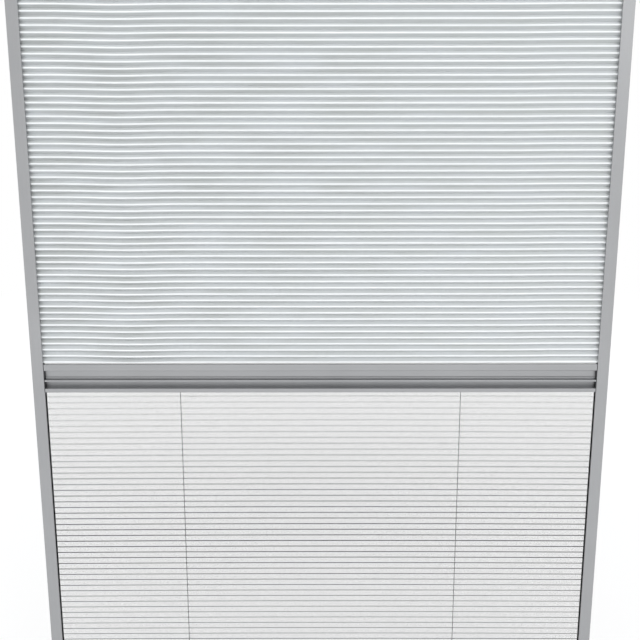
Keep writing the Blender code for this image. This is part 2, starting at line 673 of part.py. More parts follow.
def bar_glider(name, side, carriage):
    """A moulded end piece that runs in the side rail, with tongues in both extrusions."""
    lip_back = FRONT + WALL + FACE_LIP + GAP
    x_plate, x_out = BAR_END + GAP, HALF - STEP - GLIDER_THICK_CLEARANCE
    x_bite = x_plate + CAP_BITE
    z_top, z_bottom = BAR_TOP - GLIDER_MARGIN, BAR_BOTTOM + GLIDER_MARGIN
    plate = box((side * x_plate, lip_back, z_top), (side * x_out, BRUSH_BLOCK_FRONT - 2 * GAP, z_bottom))
    glider = solid(name, plate, "black_plastic", carriage, carriage.location)
    bevel = glider.modifiers.new("soft_edges", "BEVEL")
    bevel.width = EDGE_RADIUS
    bevel.segments = 1
    x_tip = BAR_END - GLIDER_TONGUE
    back = min(BAR_BACK - BAR_WALL, BRUSH_BLOCK_FRONT - 2 * GAP) - TONGUE_CLEARANCE
    under_slot = BAR_TOP - BAR_SLOT_DEEP - BAR_WALL
    upper_floor = GROOVE_FLOOR + BAR_WALL + TONGUE_CLEARANCE
    lower_floor = upper_floor + GROOVE_2_FALL
    shapes = {
        "upper_tongue": box(
            (side * x_tip, upper_floor, under_slot - TONGUE_CLEARANCE),
            (side * x_bite, back, UPPER_BOTTOM + BAR_WALL + TONGUE_CLEARANCE),
        ),
        "lower_tongue": box(
            (side * x_tip, lower_floor, LOWER_TOP - BAR_WALL - TONGUE_CLEARANCE),
            (side * x_bite, back, BAR_BOTTOM + BAR_SLOT_DEEP + BAR_WALL + TONGUE_CLEARANCE),
        ),
    }
    for part_name, shape in shapes.items():
        combine(glider, helper(f"{name}_{part_name}", shape), "UNION")
    pocket = box(
        (side * (x_out - PAD_POCKET), -PAD_WIDTH / 2 - GAP, BAR_MIDDLE - PAD_HEIGHT / 2 - GAP),
        (side * (x_out + PAD_POCKET), PAD_WIDTH / 2 + GAP, BAR_MIDDLE + PAD_HEIGHT / 2 + GAP),
    )
    combine(glider, helper(f"{name}_pocket", pocket), "DIFFERENCE")
    return glider


def brake_pad(name, side, carriage):
    """The felt pad that drags on the rail and holds the bar where it is left."""
    x_in = HALF - STEP - GLIDER_THICK_CLEARANCE - PAD_POCKET + GAP
    x_out = HALF - STEP - GAP
    shape = box(
        (side * x_in, -PAD_WIDTH / 2, BAR_MIDDLE - PAD_HEIGHT / 2),
        (side * x_out, PAD_WIDTH / 2, BAR_MIDDLE + PAD_HEIGHT / 2),
    )
    return solid(name, shape, "felt", carriage, carriage.location)


def roller_centre(cord, side, level):
    return (side * (CORD_X - ROLLER_PITCH_RADIUS), CORD_Y[cord], CROSSING_Z + level * ROLLER_PITCH_RADIUS)


def cord_cradle(name, side, carriage):
    """A bracket inside the bar whose two plates hold the pins of one pair of rollers."""
    inner = CORD_X - ROLLER_PITCH_RADIUS - ROLLER_RIM_RADIUS - CRADLE_MARGIN
    web = CORD_X + CORD_RADIUS + CRADLE_CORD_ROOM
    outer = web + CRADLE_WALL
    front_in, back_in = CRADLE_FRONT + CRADLE_WALL, CRADLE_BACK - CRADLE_WALL
    outline = [
        (inner, CRADLE_FRONT), (outer, CRADLE_FRONT), (outer, CRADLE_BACK), (inner, CRADLE_BACK),
        (inner, back_in), (web, back_in), (web, front_in), (inner, front_in),
    ]
    low, high = UPPER_BOTTOM + BAR_WALL + GAP, BAR_TOP - BAR_WALL - GAP
    cradle = extruded(
        name, [outline], lambda x, y: (side * x, y, low), (0, 0, high - low), "black_plastic",
        carriage, carriage.location,
    )
    for level_name, level in (("upper", 1), ("lower", -1)):
        x, _, z = roller_centre("a", side, level)
        drill(
            cradle, f"{name}_{level_name}", (x, CRADLE_FRONT - CRADLE_WALL, z),
            (x, CRADLE_BACK + CRADLE_WALL, z), PIN_RADIUS + GAP,
        )
    return cradle


def roller_pin(name, side, level, carriage):
    x, _, z = roller_centre("a", side, level)
    start = CRADLE_FRONT - GAP - PIN_HEAD_THICK
    length = CRADLE_BACK - start
    profile = [
        (0, 0), (PIN_HEAD_RADIUS, 0), (PIN_HEAD_RADIUS, PIN_HEAD_THICK), (PIN_RADIUS, PIN_HEAD_THICK),
        (PIN_RADIUS, length), (0, length),
    ]
    return turned(name, profile, (x, start, z), (0, 1, 0), 12, "steel", carriage)


def roller(name, cord, side, level, carriage):
    """A grooved roller with a long hub, which keeps it in its own cord's plane."""
    groove = ROLLER_PITCH_RADIUS - CORD_RADIUS - GAP
    hub_length = ROLLER_THICK + ROLLER_SPACING
    bore, thick = PIN_RADIUS + GAP, ROLLER_THICK
    flank = ROLLER_RIM_WIDTH + ROLLER_FLANK
    profile = [
        (bore, 0), (ROLLER_RIM_RADIUS, 0), (ROLLER_RIM_RADIUS, ROLLER_RIM_WIDTH), (groove, flank),
        (groove, thick - flank), (ROLLER_RIM_RADIUS, thick - ROLLER_RIM_WIDTH),
        (ROLLER_RIM_RADIUS, thick), (ROLLER_HUB_RADIUS, thick),
        (ROLLER_HUB_RADIUS, thick + hub_length), (bore, thick + hub_length),
    ]
    x, _, z = roller_centre(cord, side, level)
    backwards = cord == "b"
    start = ROLLERS_BACK if backwards else ROLLERS_FRONT
    axis = (0, -1 if backwards else 1, 0)
    return turned(name, profile, (x, start, z), axis, 16, "white_plastic", carriage, ring=True)


def cord_route(cord, side):
    """Down to the bar on one side, round two rollers, and down to the shoe on the other side."""
    y = CORD_Y[cord]
    radius = ROLLER_PITCH_RADIUS
    steps = 6
    quarter = [math.pi / 2 * k / steps for k in range(steps + 1)]
    top = HEIGHT - (WALL + CHAMBER - GAP - PLUG_FLANGE_THICK + PLUG_CAP) - GAP
    points = [(side * CORD_X, y, top)]
    x, _, z = roller_centre(cord, side, 1)
    points += [(x + side * radius * math.cos(a), y, z - radius * math.sin(a)) for a in quarter]
    x, _, z = roller_centre(cord, -side, -1)
    points += [(x - side * radius * math.sin(a), y, z + radius * math.cos(a)) for a in quarter]
    return [*points, (-side * CORD_X, y, stop_base() + STOP_FLOOR + GAP)]


def cord_plug(name, cord, side, rail, frame):
    """A flanged plug that sits in the top rail's chamber wall and grips the cord's upper end."""
    flange_low = HEIGHT - (WALL + CHAMBER - GAP)
    flange_high = flange_low + PLUG_FLANGE_THICK
    tip = HEIGHT - STEP - PLUG_REACH
    centre = (side * CORD_X, CORD_Y[cord], 0)
    profile = [
        (0, flange_high), (PLUG_FLANGE_RADIUS, flange_high), (PLUG_FLANGE_RADIUS, flange_low),
        (PLUG_RADIUS, flange_low), (PLUG_RADIUS, tip), (BORE_RADIUS, tip),
        (BORE_RADIUS, flange_high - PLUG_CAP), (0, flange_high - PLUG_CAP),
    ]
    drill(
        rail, f"plug_hole_{cord}", (centre[0], centre[1], HEIGHT - WALL - CHAMBER / 2),
        (centre[0], centre[1], HEIGHT - STEP - WALL), PLUG_RADIUS + GAP,
    )
    return turned(name, profile, centre, (0, 0, 1), 12, "black_plastic", frame)


def stop_base():
    """The height of the lower end of a cord's stop, hung under its spring in the shoe."""
    roof = STEP + GAP + SHOE_HEIGHT - SHOE_ROOF
    return roof - GAP - SPRING_LENGTH - GAP - STOP_LENGTH


def tension_shoe(name, side, cord, rail, frame):
    """An open housing screwed to the bottom rail; its roof carries the spring that pulls the cord."""
    base = STEP + GAP
    top = base + SHOE_HEIGHT
    floor = base + SHOE_FOOT_THICK
    half, inner = SHOE_HALF_WIDTH, SHOE_HALF_WIDTH - SHOE_SIDE
    outline = [
        (-SHOE_FOOT, base), (SHOE_FOOT, base), (SHOE_FOOT, floor), (half, floor),
        (half, top, EDGE_RADIUS), (-half, top, EDGE_RADIUS), (-half, floor), (-SHOE_FOOT, floor),
    ]
    hollow = [(-inner, floor), (inner, floor), (inner, top - SHOE_ROOF), (-inner, top - SHOE_ROOF)]
    x, y = side * CORD_X, CORD_Y[cord]
    front, back = FABRIC_BACK + SHOE_FROM_FABRIC, CORD_Y["b"] + SHOE_BEHIND_CORD
    shoe = extruded(
        name, [rounded(outline), hollow], lambda a, z: (x + a, front, z), (0, back - front, 0),
        "black_plastic", frame,
    )
    drill(shoe, f"{name}_bore", (x, y, top + SHOE_ROOF), (x, y, top - 2 * SHOE_ROOF), BORE_RADIUS, 10)
    screw_x = x + side * SHOE_SCREW_OFFSET
    drill(
        shoe, f"{name}_foot", (screw_x, SHOE_SCREW_Y, floor + SHOE_FOOT_THICK),
        (screw_x, SHOE_SCREW_Y, base - SHOE_FOOT_THICK), SCREW_RADIUS + GAP,
    )
    drill(
        rail, f"{name}_rail", (screw_x, SHOE_SCREW_Y, STEP + WALL),
        (screw_x, SHOE_SCREW_Y, WALL + CHAMBER / 2), SCREW_RADIUS + GAP,
    )
    screw(f"{name}_screw", (screw_x, SHOE_SCREW_Y, floor + GAP + SCREW_HEAD_HEIGHT), (0, 0, -1), frame)
    return shoe


def tension_spring(name, side, cord, frame):
    """A compression spring round the cord, between the shoe's roof and the cord's stop."""
    low = stop_base() + STOP_LENGTH + GAP + SPRING_WIRE / 2
    rise = SPRING_LENGTH - SPRING_WIRE
    per_turn = 8
    count = SPRING_TURNS * per_turn
    points = []
    for k in range(count + 1):
        angle = 2 * math.pi * k / per_turn
        points.append((
            side * CORD_X + SPRING_RADIUS * math.cos(angle),
            CORD_Y[cord] + SPRING_RADIUS * math.sin(angle),
            low + rise * k / count,
        ))
    gaps = [
        (Vector(points[i]) - Vector(points[j])).length - SPRING_WIRE
        for i in range(count + 1) for j in range(i + per_turn // 2, count + 1)
    ]
    print(f"{name}: least gap between turns {min(gaps) * 1000:.2f} mm")
    return tube(name, points, SPRING_WIRE, "steel", frame, resolution=1)


def cord_stop(name, side, cord, frame):
    """The crimped stop on a cord's lower end, on which the spring pushes."""
    radius = SPRING_RADIUS + SPRING_WIRE / 2
    profile = [
        (0, 0), (radius, 0), (radius, STOP_LENGTH), (BORE_RADIUS, STOP_LENGTH),
        (BORE_RADIUS, STOP_FLOOR), (0, STOP_FLOOR),
    ]
    return turned(name, profile, (side * CORD_X, CORD_Y[cord], stop_base()), (0, 0, 1), 12, "steel", frame)


def build_frame(frame):
    rails = {end: end_rail(f"{end}_rail", end, frame) for end in ENDS}
    for side_name, side in SIDES.items():
        side_rail(f"{side_name}_side_rail", side, frame)
        brush_seal(f"{side_name}_brush_seal", side, frame)
        for end in ENDS:
            cap = corner_cap(f"corner_cap_{end}_{side_name}", end, side, frame)
            corner_screws(end, side_name, side, cap, frame)
    return rails


def build_fabrics(frame, carriage):
    blind_fabric(frame)
    insect_mesh(frame)
    in_rail = FABRIC_END - STRIP_END_CLEARANCE
    in_bar = BAR_END - STRIP_END_CLEARANCE
    fabric_strip("blind_head_strip", HEIGHT - BLOCK, -1, in_rail, frame)
    fabric_strip("blind_foot_strip", BAR_TOP, 1, in_bar, carriage)
    fabric_strip("mesh_head_strip", BAR_BOTTOM, -1, in_bar, carriage)
    fabric_strip("mesh_foot_strip", BLOCK, 1, in_rail, frame)


def build_bar(carriage):
    bar_blind_profile(carriage)
    bar_screen_profile(carriage)
    for side_name, side in SIDES.items():
        bar_glider(f"{side_name}_bar_glider", side, carriage)
        brake_pad(f"{side_name}_brake_pad", side, carriage)
        cord_cradle(f"{side_name}_cord_cradle", side, carriage)
        upper, lower = ("a", "b") if side < 0 else ("b", "a")
        for level_name, level, cord in (("upper", 1, upper), ("lower", -1, lower)):
            roller_pin(f"{side_name}_{level_name}_roller_pin", side, level, carriage)
            roller(f"{side_name}_{level_name}_roller", cord, side, level, carriage)


def build_cords(frame, rails):
    for cord, side in (("a", -1), ("b", 1)):
        tube(f"guide_cord_{cord}", cord_route(cord, side), CORD_DIAMETER, "cord", frame)
        cord_plug(f"cord_plug_{cord}", cord, side, rails["top"], frame)
        lower = -side
        lower_name = "left" if lower < 0 else "right"
        tension_shoe(f"{lower_name}_tension_shoe", lower, cord, rails["bottom"], frame)
        tension_spring(f"{lower_name}_tension_spring", lower, cord, frame)
        cord_stop(f"{lower_name}_cord_stop", lower, cord, frame)


def main():
    clear_scene()
    frame = group("frame_group")
    carriage = group("bar_carriage", (0, 0, BAR_MIDDLE))
    rails = build_frame(frame)
    build_fabrics(frame, carriage)
    build_bar(carriage)
    build_cords(frame, rails)


main()
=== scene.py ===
"""The looks of a framed pleated blind and insect screen for a roof window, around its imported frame.

Metres, +X across, +Y to the back, +Z up the slope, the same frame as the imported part. The blind folds
between the top rail and the pull bar, and the screen between the pull bar and the bottom rail.
"""

import math
import random

import bmesh
import bpy
import numpy as np
from mathutils import Matrix, Vector


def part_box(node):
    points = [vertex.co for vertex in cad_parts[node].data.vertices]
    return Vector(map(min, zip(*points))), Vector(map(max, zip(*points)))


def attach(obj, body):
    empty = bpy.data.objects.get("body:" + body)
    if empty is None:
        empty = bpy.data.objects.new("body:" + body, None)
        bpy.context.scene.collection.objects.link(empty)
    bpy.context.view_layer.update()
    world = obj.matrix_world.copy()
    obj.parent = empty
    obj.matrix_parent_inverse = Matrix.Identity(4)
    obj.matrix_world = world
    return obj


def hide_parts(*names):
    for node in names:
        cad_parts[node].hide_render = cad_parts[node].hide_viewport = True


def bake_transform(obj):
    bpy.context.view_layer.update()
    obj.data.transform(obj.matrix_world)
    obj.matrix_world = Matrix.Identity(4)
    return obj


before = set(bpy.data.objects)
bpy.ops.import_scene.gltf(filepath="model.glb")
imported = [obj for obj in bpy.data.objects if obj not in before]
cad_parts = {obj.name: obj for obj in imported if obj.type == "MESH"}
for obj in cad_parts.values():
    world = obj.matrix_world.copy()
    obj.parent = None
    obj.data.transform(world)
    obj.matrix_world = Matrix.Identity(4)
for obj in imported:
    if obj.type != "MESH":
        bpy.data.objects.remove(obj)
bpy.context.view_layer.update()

bl_info = {
    "name": "Pleated Blind and Insect Screen",
    "version": (1, 0, 0),
    "blender": (4, 5, 0),
    "location": "View3D > Sidebar > Pleated Blind",
    "description": "Dresses a framed pleated blind and insect screen with fabric, cords and finishes",
    "category": "Add Mesh",
}

BLIND_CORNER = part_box("blind_fabric")[1]
BAR_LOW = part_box("bar_screen_profile")[0].z
BAR_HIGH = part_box("bar_blind_profile")[1].z
FABRIC_REACH = BLIND_CORNER.x
FOLD_FRONT = -0.0110
FOLD_BACK = -0.0012
BLIND_PITCH = 0.0120
SCREEN_PITCH = 0.01209
BLIND_SHEET = 0.0004
BLIND_START = BAR_HIGH + 0.0020
BLIND_FIRST_NOSE = BAR_HIGH + 0.0029
BLIND_END = BLIND_CORNER.z - BLIND_SHEET / 2
SCREEN_START = BAR_LOW - 0.0019
SCREEN_FIRST_NOSE = BAR_LOW - 0.0071
SCREEN_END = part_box("insect_mesh")[0].z + 0.0002
LAST_PANEL_RISE = 0.0015
PANEL_FRONT = -0.0094
CREST_BACK = -0.0103
SHORT_PANEL = 0.0110
BLIND_COLUMNS = 44
SCREEN_COLUMNS = 5
BLIND_NOSE_STEPS = 6
SCREEN_NOSE_STEPS = 4
BLIND_EVENNESS = 1.08
SCREEN_EVENNESS = 1.06
WAVE_IN_FROM_BAR = 0.003
WAVE_OUT_AT_RAIL = 0.020
CORD_X = 0.272
CORD_Y = {"a": 0.0024, "b": 0.0064}
CORD_CROSSING = sum(c.z for level in ("upper", "lower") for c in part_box(f"left_{level}_roller")) / 4
CORD_TOP = 1.5942
CORD_FOOT = 0.0143
ROLLER_RADIUS = 0.0040
SIDES = {"left": -1, "right": 1}


def real(label, default, told, **kind):
    return bpy.props.FloatProperty(name=label, description=told, default=default, **kind)


def number(label, default, told, low=0.0, high=10.0):
    return real(label, default, told, min=low, max=high, unit="LENGTH", precision=4)


def power(label, default, told):
    return real(label, default, told, unit="POWER")


def angle(label, degrees, told):
    return real(label, math.radians(degrees), told, subtype="ANGLE")


def share(label, default, told):
    return real(label, default, told, min=0.0, max=1.0, subtype="FACTOR")


def colour(label, default, told):
    return bpy.props.FloatVectorProperty(
        name=label, description=told, default=default, size=3, min=0.0, max=1.0, subtype="COLOR"
    )


class ViewSettings(bpy.types.PropertyGroup):
    """Where the camera stands."""

    distance: number("Distance", 1.5804, "How far the camera stands in front of the frame's middle plane")
    height: number("Height", 1.179, "How high the camera stands")
    aside: number("Aside", -0.0006, "How far the camera stands from the middle", low=-10.0)
    tilt: angle("Tilt", 12.05, "How far the camera looks down")
    roll: angle("Roll", -0.04, "How far the camera leans to one side")
    lens: real("Lens", 47.8125, "Focal length on a 36 mm sensor", unit="CAMERA")


class BlindSettings(bpy.types.PropertyGroup):
    """The white pleated blind."""

    nose_radius: number("Nose radius", 0.0013, "Radius of each front fold")
    # Painted light: the panel colour is darker than the white fabric as painted shade between the folds,
    # and the crest colour is a painted highlight on the front of each fold.
    panel: colour("Panel colour", (0.645, 0.665, 0.665), "Fabric between the folds")
    crest_highlight: colour("Crest colour", (0.95, 0.975, 0.985), "Fabric on the front of each fold")


class ScreenSettings(bpy.types.PropertyGroup):
    """The black pleated insect screen."""

    nose_radius: number("Nose radius", 0.0005, "Radius of each front fold")
    thread: number("Upright thread", 0.00022, "Thickness of a thread that runs up")
    cross_thread: number("Cross thread", 0.00010, "Thickness of a thread that runs across")
    crease: number("Crease", 0.0010, "Height of the pressed crease at the lowest folds")
    spacing: number("Spacing", 0.0015, "Distance from one thread to the next")
    colour: colour("Colour", (0.030, 0.030, 0.032), "The threads")


class CordSettings(bpy.types.PropertyGroup):
    """The two guide cords."""

    diameter: number("Diameter", 0.0012, "Thickness of a guide cord")
    colour: colour("Colour", (0.11, 0.11, 0.115), "The braid")


class MetalSettings(bpy.types.PropertyGroup):
    """Aluminium extrusions and steel parts."""

    aluminium: colour("Aluminium", (0.40, 0.405, 0.415), "Satin anodised extrusions")
    steel: colour("Steel", (0.55, 0.56, 0.57), "Screws, pins, springs and stops")
    roughness: share("Roughness", 0.42, "How matt the extrusions are")


class TrimSettings(bpy.types.PropertyGroup):
    """Moulded, extruded and fibrous parts."""

    black: colour("Black plastic", (0.018, 0.018, 0.020), "Gliders, cradles, shoes and plugs")
    grey: colour("Grey plastic", (0.42, 0.43, 0.44), "Corner caps")
    white: colour("White plastic", (0.76, 0.76, 0.75), "Fabric strips and rollers")
    pile: colour("Brush pile", (0.013, 0.013, 0.014), "Bristles beside the screen")
    felt: colour("Felt", (0.09, 0.09, 0.095), "Brake pads")


class StageSettings(bpy.types.PropertyGroup):
    """Floor and light."""

    floor: number("Floor radius", 7.0, "Radius of the pale floor", high=50.0)
    key: power("Key light", 168.0, "Power of the large front light")
    side: power("Side light", 14.5, "Power of the small light that the rails mirror")
    back: power("Back light", 500.0, "Power of the far, low light behind")
    sky: share("Sky", 0.56, "Strength of the even light from all round")


# Materials

NOISE_SPAN = (0.3, 0.7)
RANGE_INPUTS = ("From Min", "From Max", "To Min", "To Max")
STRANDS = 3600.0


class Finish:
    """A procedural material and the nodes that feed its shader."""

    def __init__(self, name, base, roughness, metallic=0.0):
        self.material = bpy.data.materials.new(name)
        self.material.use_nodes = True
        self.material.diffuse_color = (*base, 1.0)
        self.tree = self.material.node_tree
        self.shader = self.tree.nodes["Principled BSDF"]
        self.base = base
        self.put(self.shader, "Base Color", (*base, 1.0))
        self.put(self.shader, "Roughness", roughness)
        self.put(self.shader, "Metallic", metallic)
        self.place = self.node("ShaderNodeTexCoord").outputs["Object"]

    def node(self, kind, **values):
        made = self.tree.nodes.new(kind)
        for key, value in values.items():
            setattr(made, key, value)
        return made

    def put(self, node, name, value):
        """Give an input a value, or link it where the value is another node's output."""
        socket = node.inputs[name]
        if isinstance(value, bpy.types.NodeSocket):
            self.tree.links.new(value, socket)
        else:
            socket.default_value = value

    def noise(self, scale, detail=2.0, rough=0.5, stretch=None):
        """A noise over the object's coordinates, which may be scaled along each axis first."""
        made = self.node("ShaderNodeTexNoise")
        place = self.place
        if stretch:
            mapping = self.node("ShaderNodeMapping")
            self.put(mapping, "Vector", place)
            self.put(mapping, "Scale", stretch)
            place = mapping.outputs["Vector"]
        self.put(made, "Vector", place)
        self.put(made, "Scale", scale)
        self.put(made, "Detail", detail)
        self.put(made, "Roughness", rough)
        return made.outputs["Fac"]

    def waves(self, scale, direction, distortion):
        made = self.node("ShaderNodeTexWave", bands_direction=direction, wave_profile="SIN")
        self.put(made, "Vector", self.place)
        self.put(made, "Scale", scale)
        self.put(made, "Distortion", distortion)
        return made.outputs["Fac"]

    def math(self, operation, first, second=0.0, third=0.0):
        made = self.node("ShaderNodeMath", operation=operation)
        for i, value in enumerate((first, second, third)):
            self.put(made, i, value)
        return made.outputs[0]

    def axis(self, name):
        """One of the object's coordinates."""
        split = self.node("ShaderNodeSeparateXYZ")
        self.put(split, 0, self.place)
        return split.outputs[name]

    def span(self, value, low, high, new_low=0.0, new_high=1.0, smooth=False):
        made = self.node(
            "ShaderNodeMapRange", interpolation_type="SMOOTHSTEP" if smooth else "LINEAR", clamp=True
        )
        self.put(made, "Value", value)
        for name, end in zip(RANGE_INPUTS, (low, high, new_low, new_high)):
            self.put(made, name, end)
        return made.outputs["Result"]

    def mixed(self, fac, first, second):
        made = self.node("ShaderNodeMix", data_type="RGBA")
        self.put(made, 0, fac)
        for i, value in ((6, first), (7, second)):
            self.put(made, i, value if isinstance(value, bpy.types.NodeSocket) else (*value, 1.0))
        return made.outputs[2]

    def paint(self, value):
        self.put(self.shader, "Base Color", value)

    def mottle(self, value, dark, light):
        """Paint the base colour darker where a noise is low and lighter where it is high."""
        between = self.span(value, *NOISE_SPAN)
        self.paint(self.mixed(between, shade(self.base, dark), shade(self.base, light)))

    def rough(self, value, low, high):
        self.put(self.shader, "Roughness", self.span(value, 0.0, 1.0, low, high))

    def relief(self, height, depth, strength):
        bump = self.node("ShaderNodeBump")
        self.put(bump, "Strength", strength)
        self.put(bump, "Distance", depth)
        self.put(bump, "Height", height)
        self.put(self.shader, "Normal", bump.outputs["Normal"])


def shade(tint, factor):
    return tuple(min(1.0, c * factor) for c in tint)


def aluminium_finish(name, along):
    """Satin anodised aluminium with fine drawing lines along the extrusion."""
    metal = bpy.context.scene.metal_settings
    made = Finish(name, tuple(metal.aluminium), metal.roughness, 0.9)
    across = {"x": (2.0, 900.0, 900.0), "z": (900.0, 900.0, 2.0)}[along]
    lines = made.noise(1.0, 3.0, 0.6, across)
    cloud = made.noise(9.0, 2.0)
    tone = made.math("MULTIPLY_ADD", lines, 0.5, made.math("MULTIPLY", cloud, 0.5))
    made.mottle(tone, 0.95, 1.05)
    made.rough(lines, metal.roughness - 0.07, metal.roughness + 0.07)
    made.relief(lines, 0.00002, 0.35)
    return made.material


def steel_finish():
    """Bright zinc on steel, with a fine, even grain."""
    made = Finish("zinc_steel", tuple(bpy.context.scene.metal_settings.steel), 0.3, 1.0)
    grain = made.noise(4000.0, 3.0, 0.6)
    made.mottle(grain, 0.85, 1.1)
    made.rough(grain, 0.22, 0.42)
    made.relief(grain, 0.00001, 0.4)
    return made.material


def moulded_finish(name, base, roughness):
    """Moulded plastic with a fine spark-eroded grain and slightly uneven gloss."""
    made = Finish(name, base, roughness)
    grain = made.noise(3200.0, 2.0, 0.6)
    cloud = made.noise(60.0, 2.0)
    made.mottle(cloud, 0.9, 1.1)
    made.rough(cloud, roughness - 0.06, roughness + 0.08)
    made.relief(grain, 0.00004, 0.3)
    return made.material


def strip_finish(name, base):
    """Extruded plastic with faint draw lines along its length."""
    made = Finish(name, base, 0.42)
    lines = made.noise(1.0, 2.0, 0.5, (3.0, 700.0, 700.0))
    made.mottle(lines, 0.95, 1.03)
    made.rough(lines, 0.36, 0.5)
    made.relief(lines, 0.00002, 0.3)
    return made.material


def blind_finish():
    """White pleated fabric with a fine plain weave, a painted highlight on the front of each fold,
    painted shade on the panels between, and more painted shade towards the left.
    """
    blind = bpy.context.scene.blind_settings
    made = Finish("white_pleat_fabric", tuple(blind.panel), 0.85)
    # Painted highlight: the front of each fold is painted near-white, and the panels behind it stay grey
    # as painted shade.
    front = made.span(made.axis("Y"), PANEL_FRONT, CREST_BACK, smooth=True)
    cloud = made.noise(1.0, 2.0, 0.5, (7.0, 1.0, 60.0))
    # Painted shade: the panels are painted up to 12% darker towards the left, as if more light fell from
    # the right.
    painted_left_shade = made.span(made.axis("X"), -0.5, 0.4)
    grey = made.mixed(painted_left_shade, shade(blind.panel, 0.88), tuple(blind.panel))
    bluish = (*shade(blind.panel, 1.02)[:2], 0.69)
    cool = made.mixed(made.span(cloud, 0.36, 0.64), grey, bluish)
    thread = made.math("MULTIPLY", made.waves(620.0, "X", 0.6), made.waves(900.0, "Z", 0.6))
    woven = made.mixed(made.span(thread, 0.0, 1.0, 0.0, 0.12), cool, shade(blind.panel, 0.86))
    made.paint(made.mixed(front, woven, tuple(blind.crest_highlight)))
    made.rough(thread, 0.78, 0.92)
    made.relief(thread, 0.00004, 0.35)
    made.put(made.shader, "Sheen Weight", 0.08)
    return made.material


def screen_finish():
    """The screen's upright threads on an otherwise open sheet."""
    screen = bpy.context.scene.screen_settings
    made = Finish("screen_warp", tuple(screen.colour), 0.6)
    step = made.math("FRACT", made.math("MULTIPLY", made.axis("X"), 1.0 / screen.spacing))
    on_thread = made.math("LESS_THAN", step, screen.thread / screen.spacing)
    fibre = made.noise(2600.0, 2.0)
    made.mottle(fibre, 0.8, 1.4)
    made.rough(fibre, 0.5, 0.75)
    made.put(made.shader, "Alpha", on_thread)
    return made.material


def thread_finish():
    """The screen's threads that run across, with fibres along each."""
    made = Finish("screen_weft", tuple(bpy.context.scene.screen_settings.colour), 0.6)
    fibre = made.noise(1.0, 2.0, 0.5, (500.0, 2600.0, 2600.0))
    made.mottle(fibre, 0.8, 1.4)
    made.rough(fibre, 0.5, 0.75)
    return made.material


def cord_finish():
    """A thin braid, two sets of strands that wind round it both ways."""
    base = tuple(bpy.context.scene.cord_settings.colour)
    made = Finish("braided_cord", base, 0.7)
    up, over = made.axis("Z"), made.axis("X")
    one, two = (
        made.math("SINE", made.math("MULTIPLY", made.math(lay, up, over), STRANDS))
        for lay in ("ADD", "SUBTRACT")
    )
    strands = made.span(made.math("MULTIPLY", one, two), -0.8, 0.8)
    made.paint(made.mixed(strands, shade(base, 0.6), shade(base, 1.6)))
    made.rough(strands, 0.6, 0.85)
    made.relief(strands, 0.0001, 0.5)
    return made.material


def fibre_finish(name, base, scale):
    """A pile or felt of fine fibres."""
    made = Finish(name, base, 0.95)
    fibre = made.noise(scale, 4.0, 0.7)
    clump = made.noise(scale / 12, 2.0)
    tone = made.math("MULTIPLY_ADD", fibre, 0.6, made.math("MULTIPLY", clump, 0.4))
    made.mottle(tone, 0.6, 1.7)
    made.rough(fibre, 0.85, 1.0)
    made.relief(fibre, 0.0002, 0.5)
    made.put(made.shader, "Sheen Weight", 0.15)
    return made.material


def finish(name):
    """One of the materials by name, made when it is first asked for."""
    if name in bpy.data.materials:
        return bpy.data.materials[name]
    trim = bpy.context.scene.trim_settings
    makers = {
        "satin_aluminium_across": lambda: aluminium_finish(name, "x"),
        "satin_aluminium_upright": lambda: aluminium_finish(name, "z"),
        "zinc_steel": steel_finish,
        "black_moulding": lambda: moulded_finish(name, tuple(trim.black), 0.42),
        "grey_moulding": lambda: moulded_finish(name, tuple(trim.grey), 0.46),
        "white_moulding": lambda: moulded_finish(name, tuple(trim.white), 0.40),
        "white_strip": lambda: strip_finish(name, tuple(trim.white)),
        "white_pleat_fabric": blind_finish,
        "screen_warp": screen_finish,
        "screen_weft": thread_finish,
        "braided_cord": cord_finish,
        "brush_fibre": lambda: fibre_finish(name, tuple(trim.pile), 3000.0),
        "felt_fibre": lambda: fibre_finish(name, tuple(trim.felt), 1800.0),
    }
    return makers[name]()


def redress(nodes, material, smooth_angle=None):
    """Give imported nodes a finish, and round shading over their curved corners."""
    for name in nodes:
        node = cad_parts[name]
        for held in node.material_slots:
            held.material = finish(material)
        if smooth_angle:
            round_shading(node, smooth_angle)


def round_shading(node, degrees):
    """Smooth shading across shallow edges, weighted so that flat faces stay flat."""
    mesh = node.data
    if "custom_normal" in mesh.attributes:
        mesh.attributes.remove(mesh.attributes["custom_normal"])
    mesh.shade_smooth()
    weld = node.modifiers.new("weld", "WELD")
    weld.merge_threshold = 0.000002
    split = node.modifiers.new("split", "EDGE_SPLIT")
    split.split_angle = math.radians(degrees)
    weighted = node.modifiers.new("weighted", "WEIGHTED_NORMAL")
    weighted.mode = "FACE_AREA"


# Mesh helpers


def piece(name, verts, faces, material, smooth=None):
    """An object from lists of points and faces, smooth up to an angle in degrees."""
    mesh = bpy.data.meshes.new(name)
    mesh.from_pydata([tuple(v) for v in verts], [], faces)
    mesh.validate()
    mesh.materials.append(finish(material))
    obj = bpy.data.objects.new(name, mesh)
    bpy.context.scene.collection.objects.link(obj)
    if smooth:
        mesh.shade_smooth()
        mesh.set_sharp_from_angle(angle=math.radians(smooth))
    return obj


def piece_from(name, bm, material, smooth=None):
    bmesh.ops.recalc_face_normals(bm, faces=bm.faces)
    bm.verts.index_update()
    verts = [v.co.copy() for v in bm.verts]
    faces = [[v.index for v in f.verts] for f in bm.faces]
    bm.free()
    return piece(name, verts, faces, material, smooth)


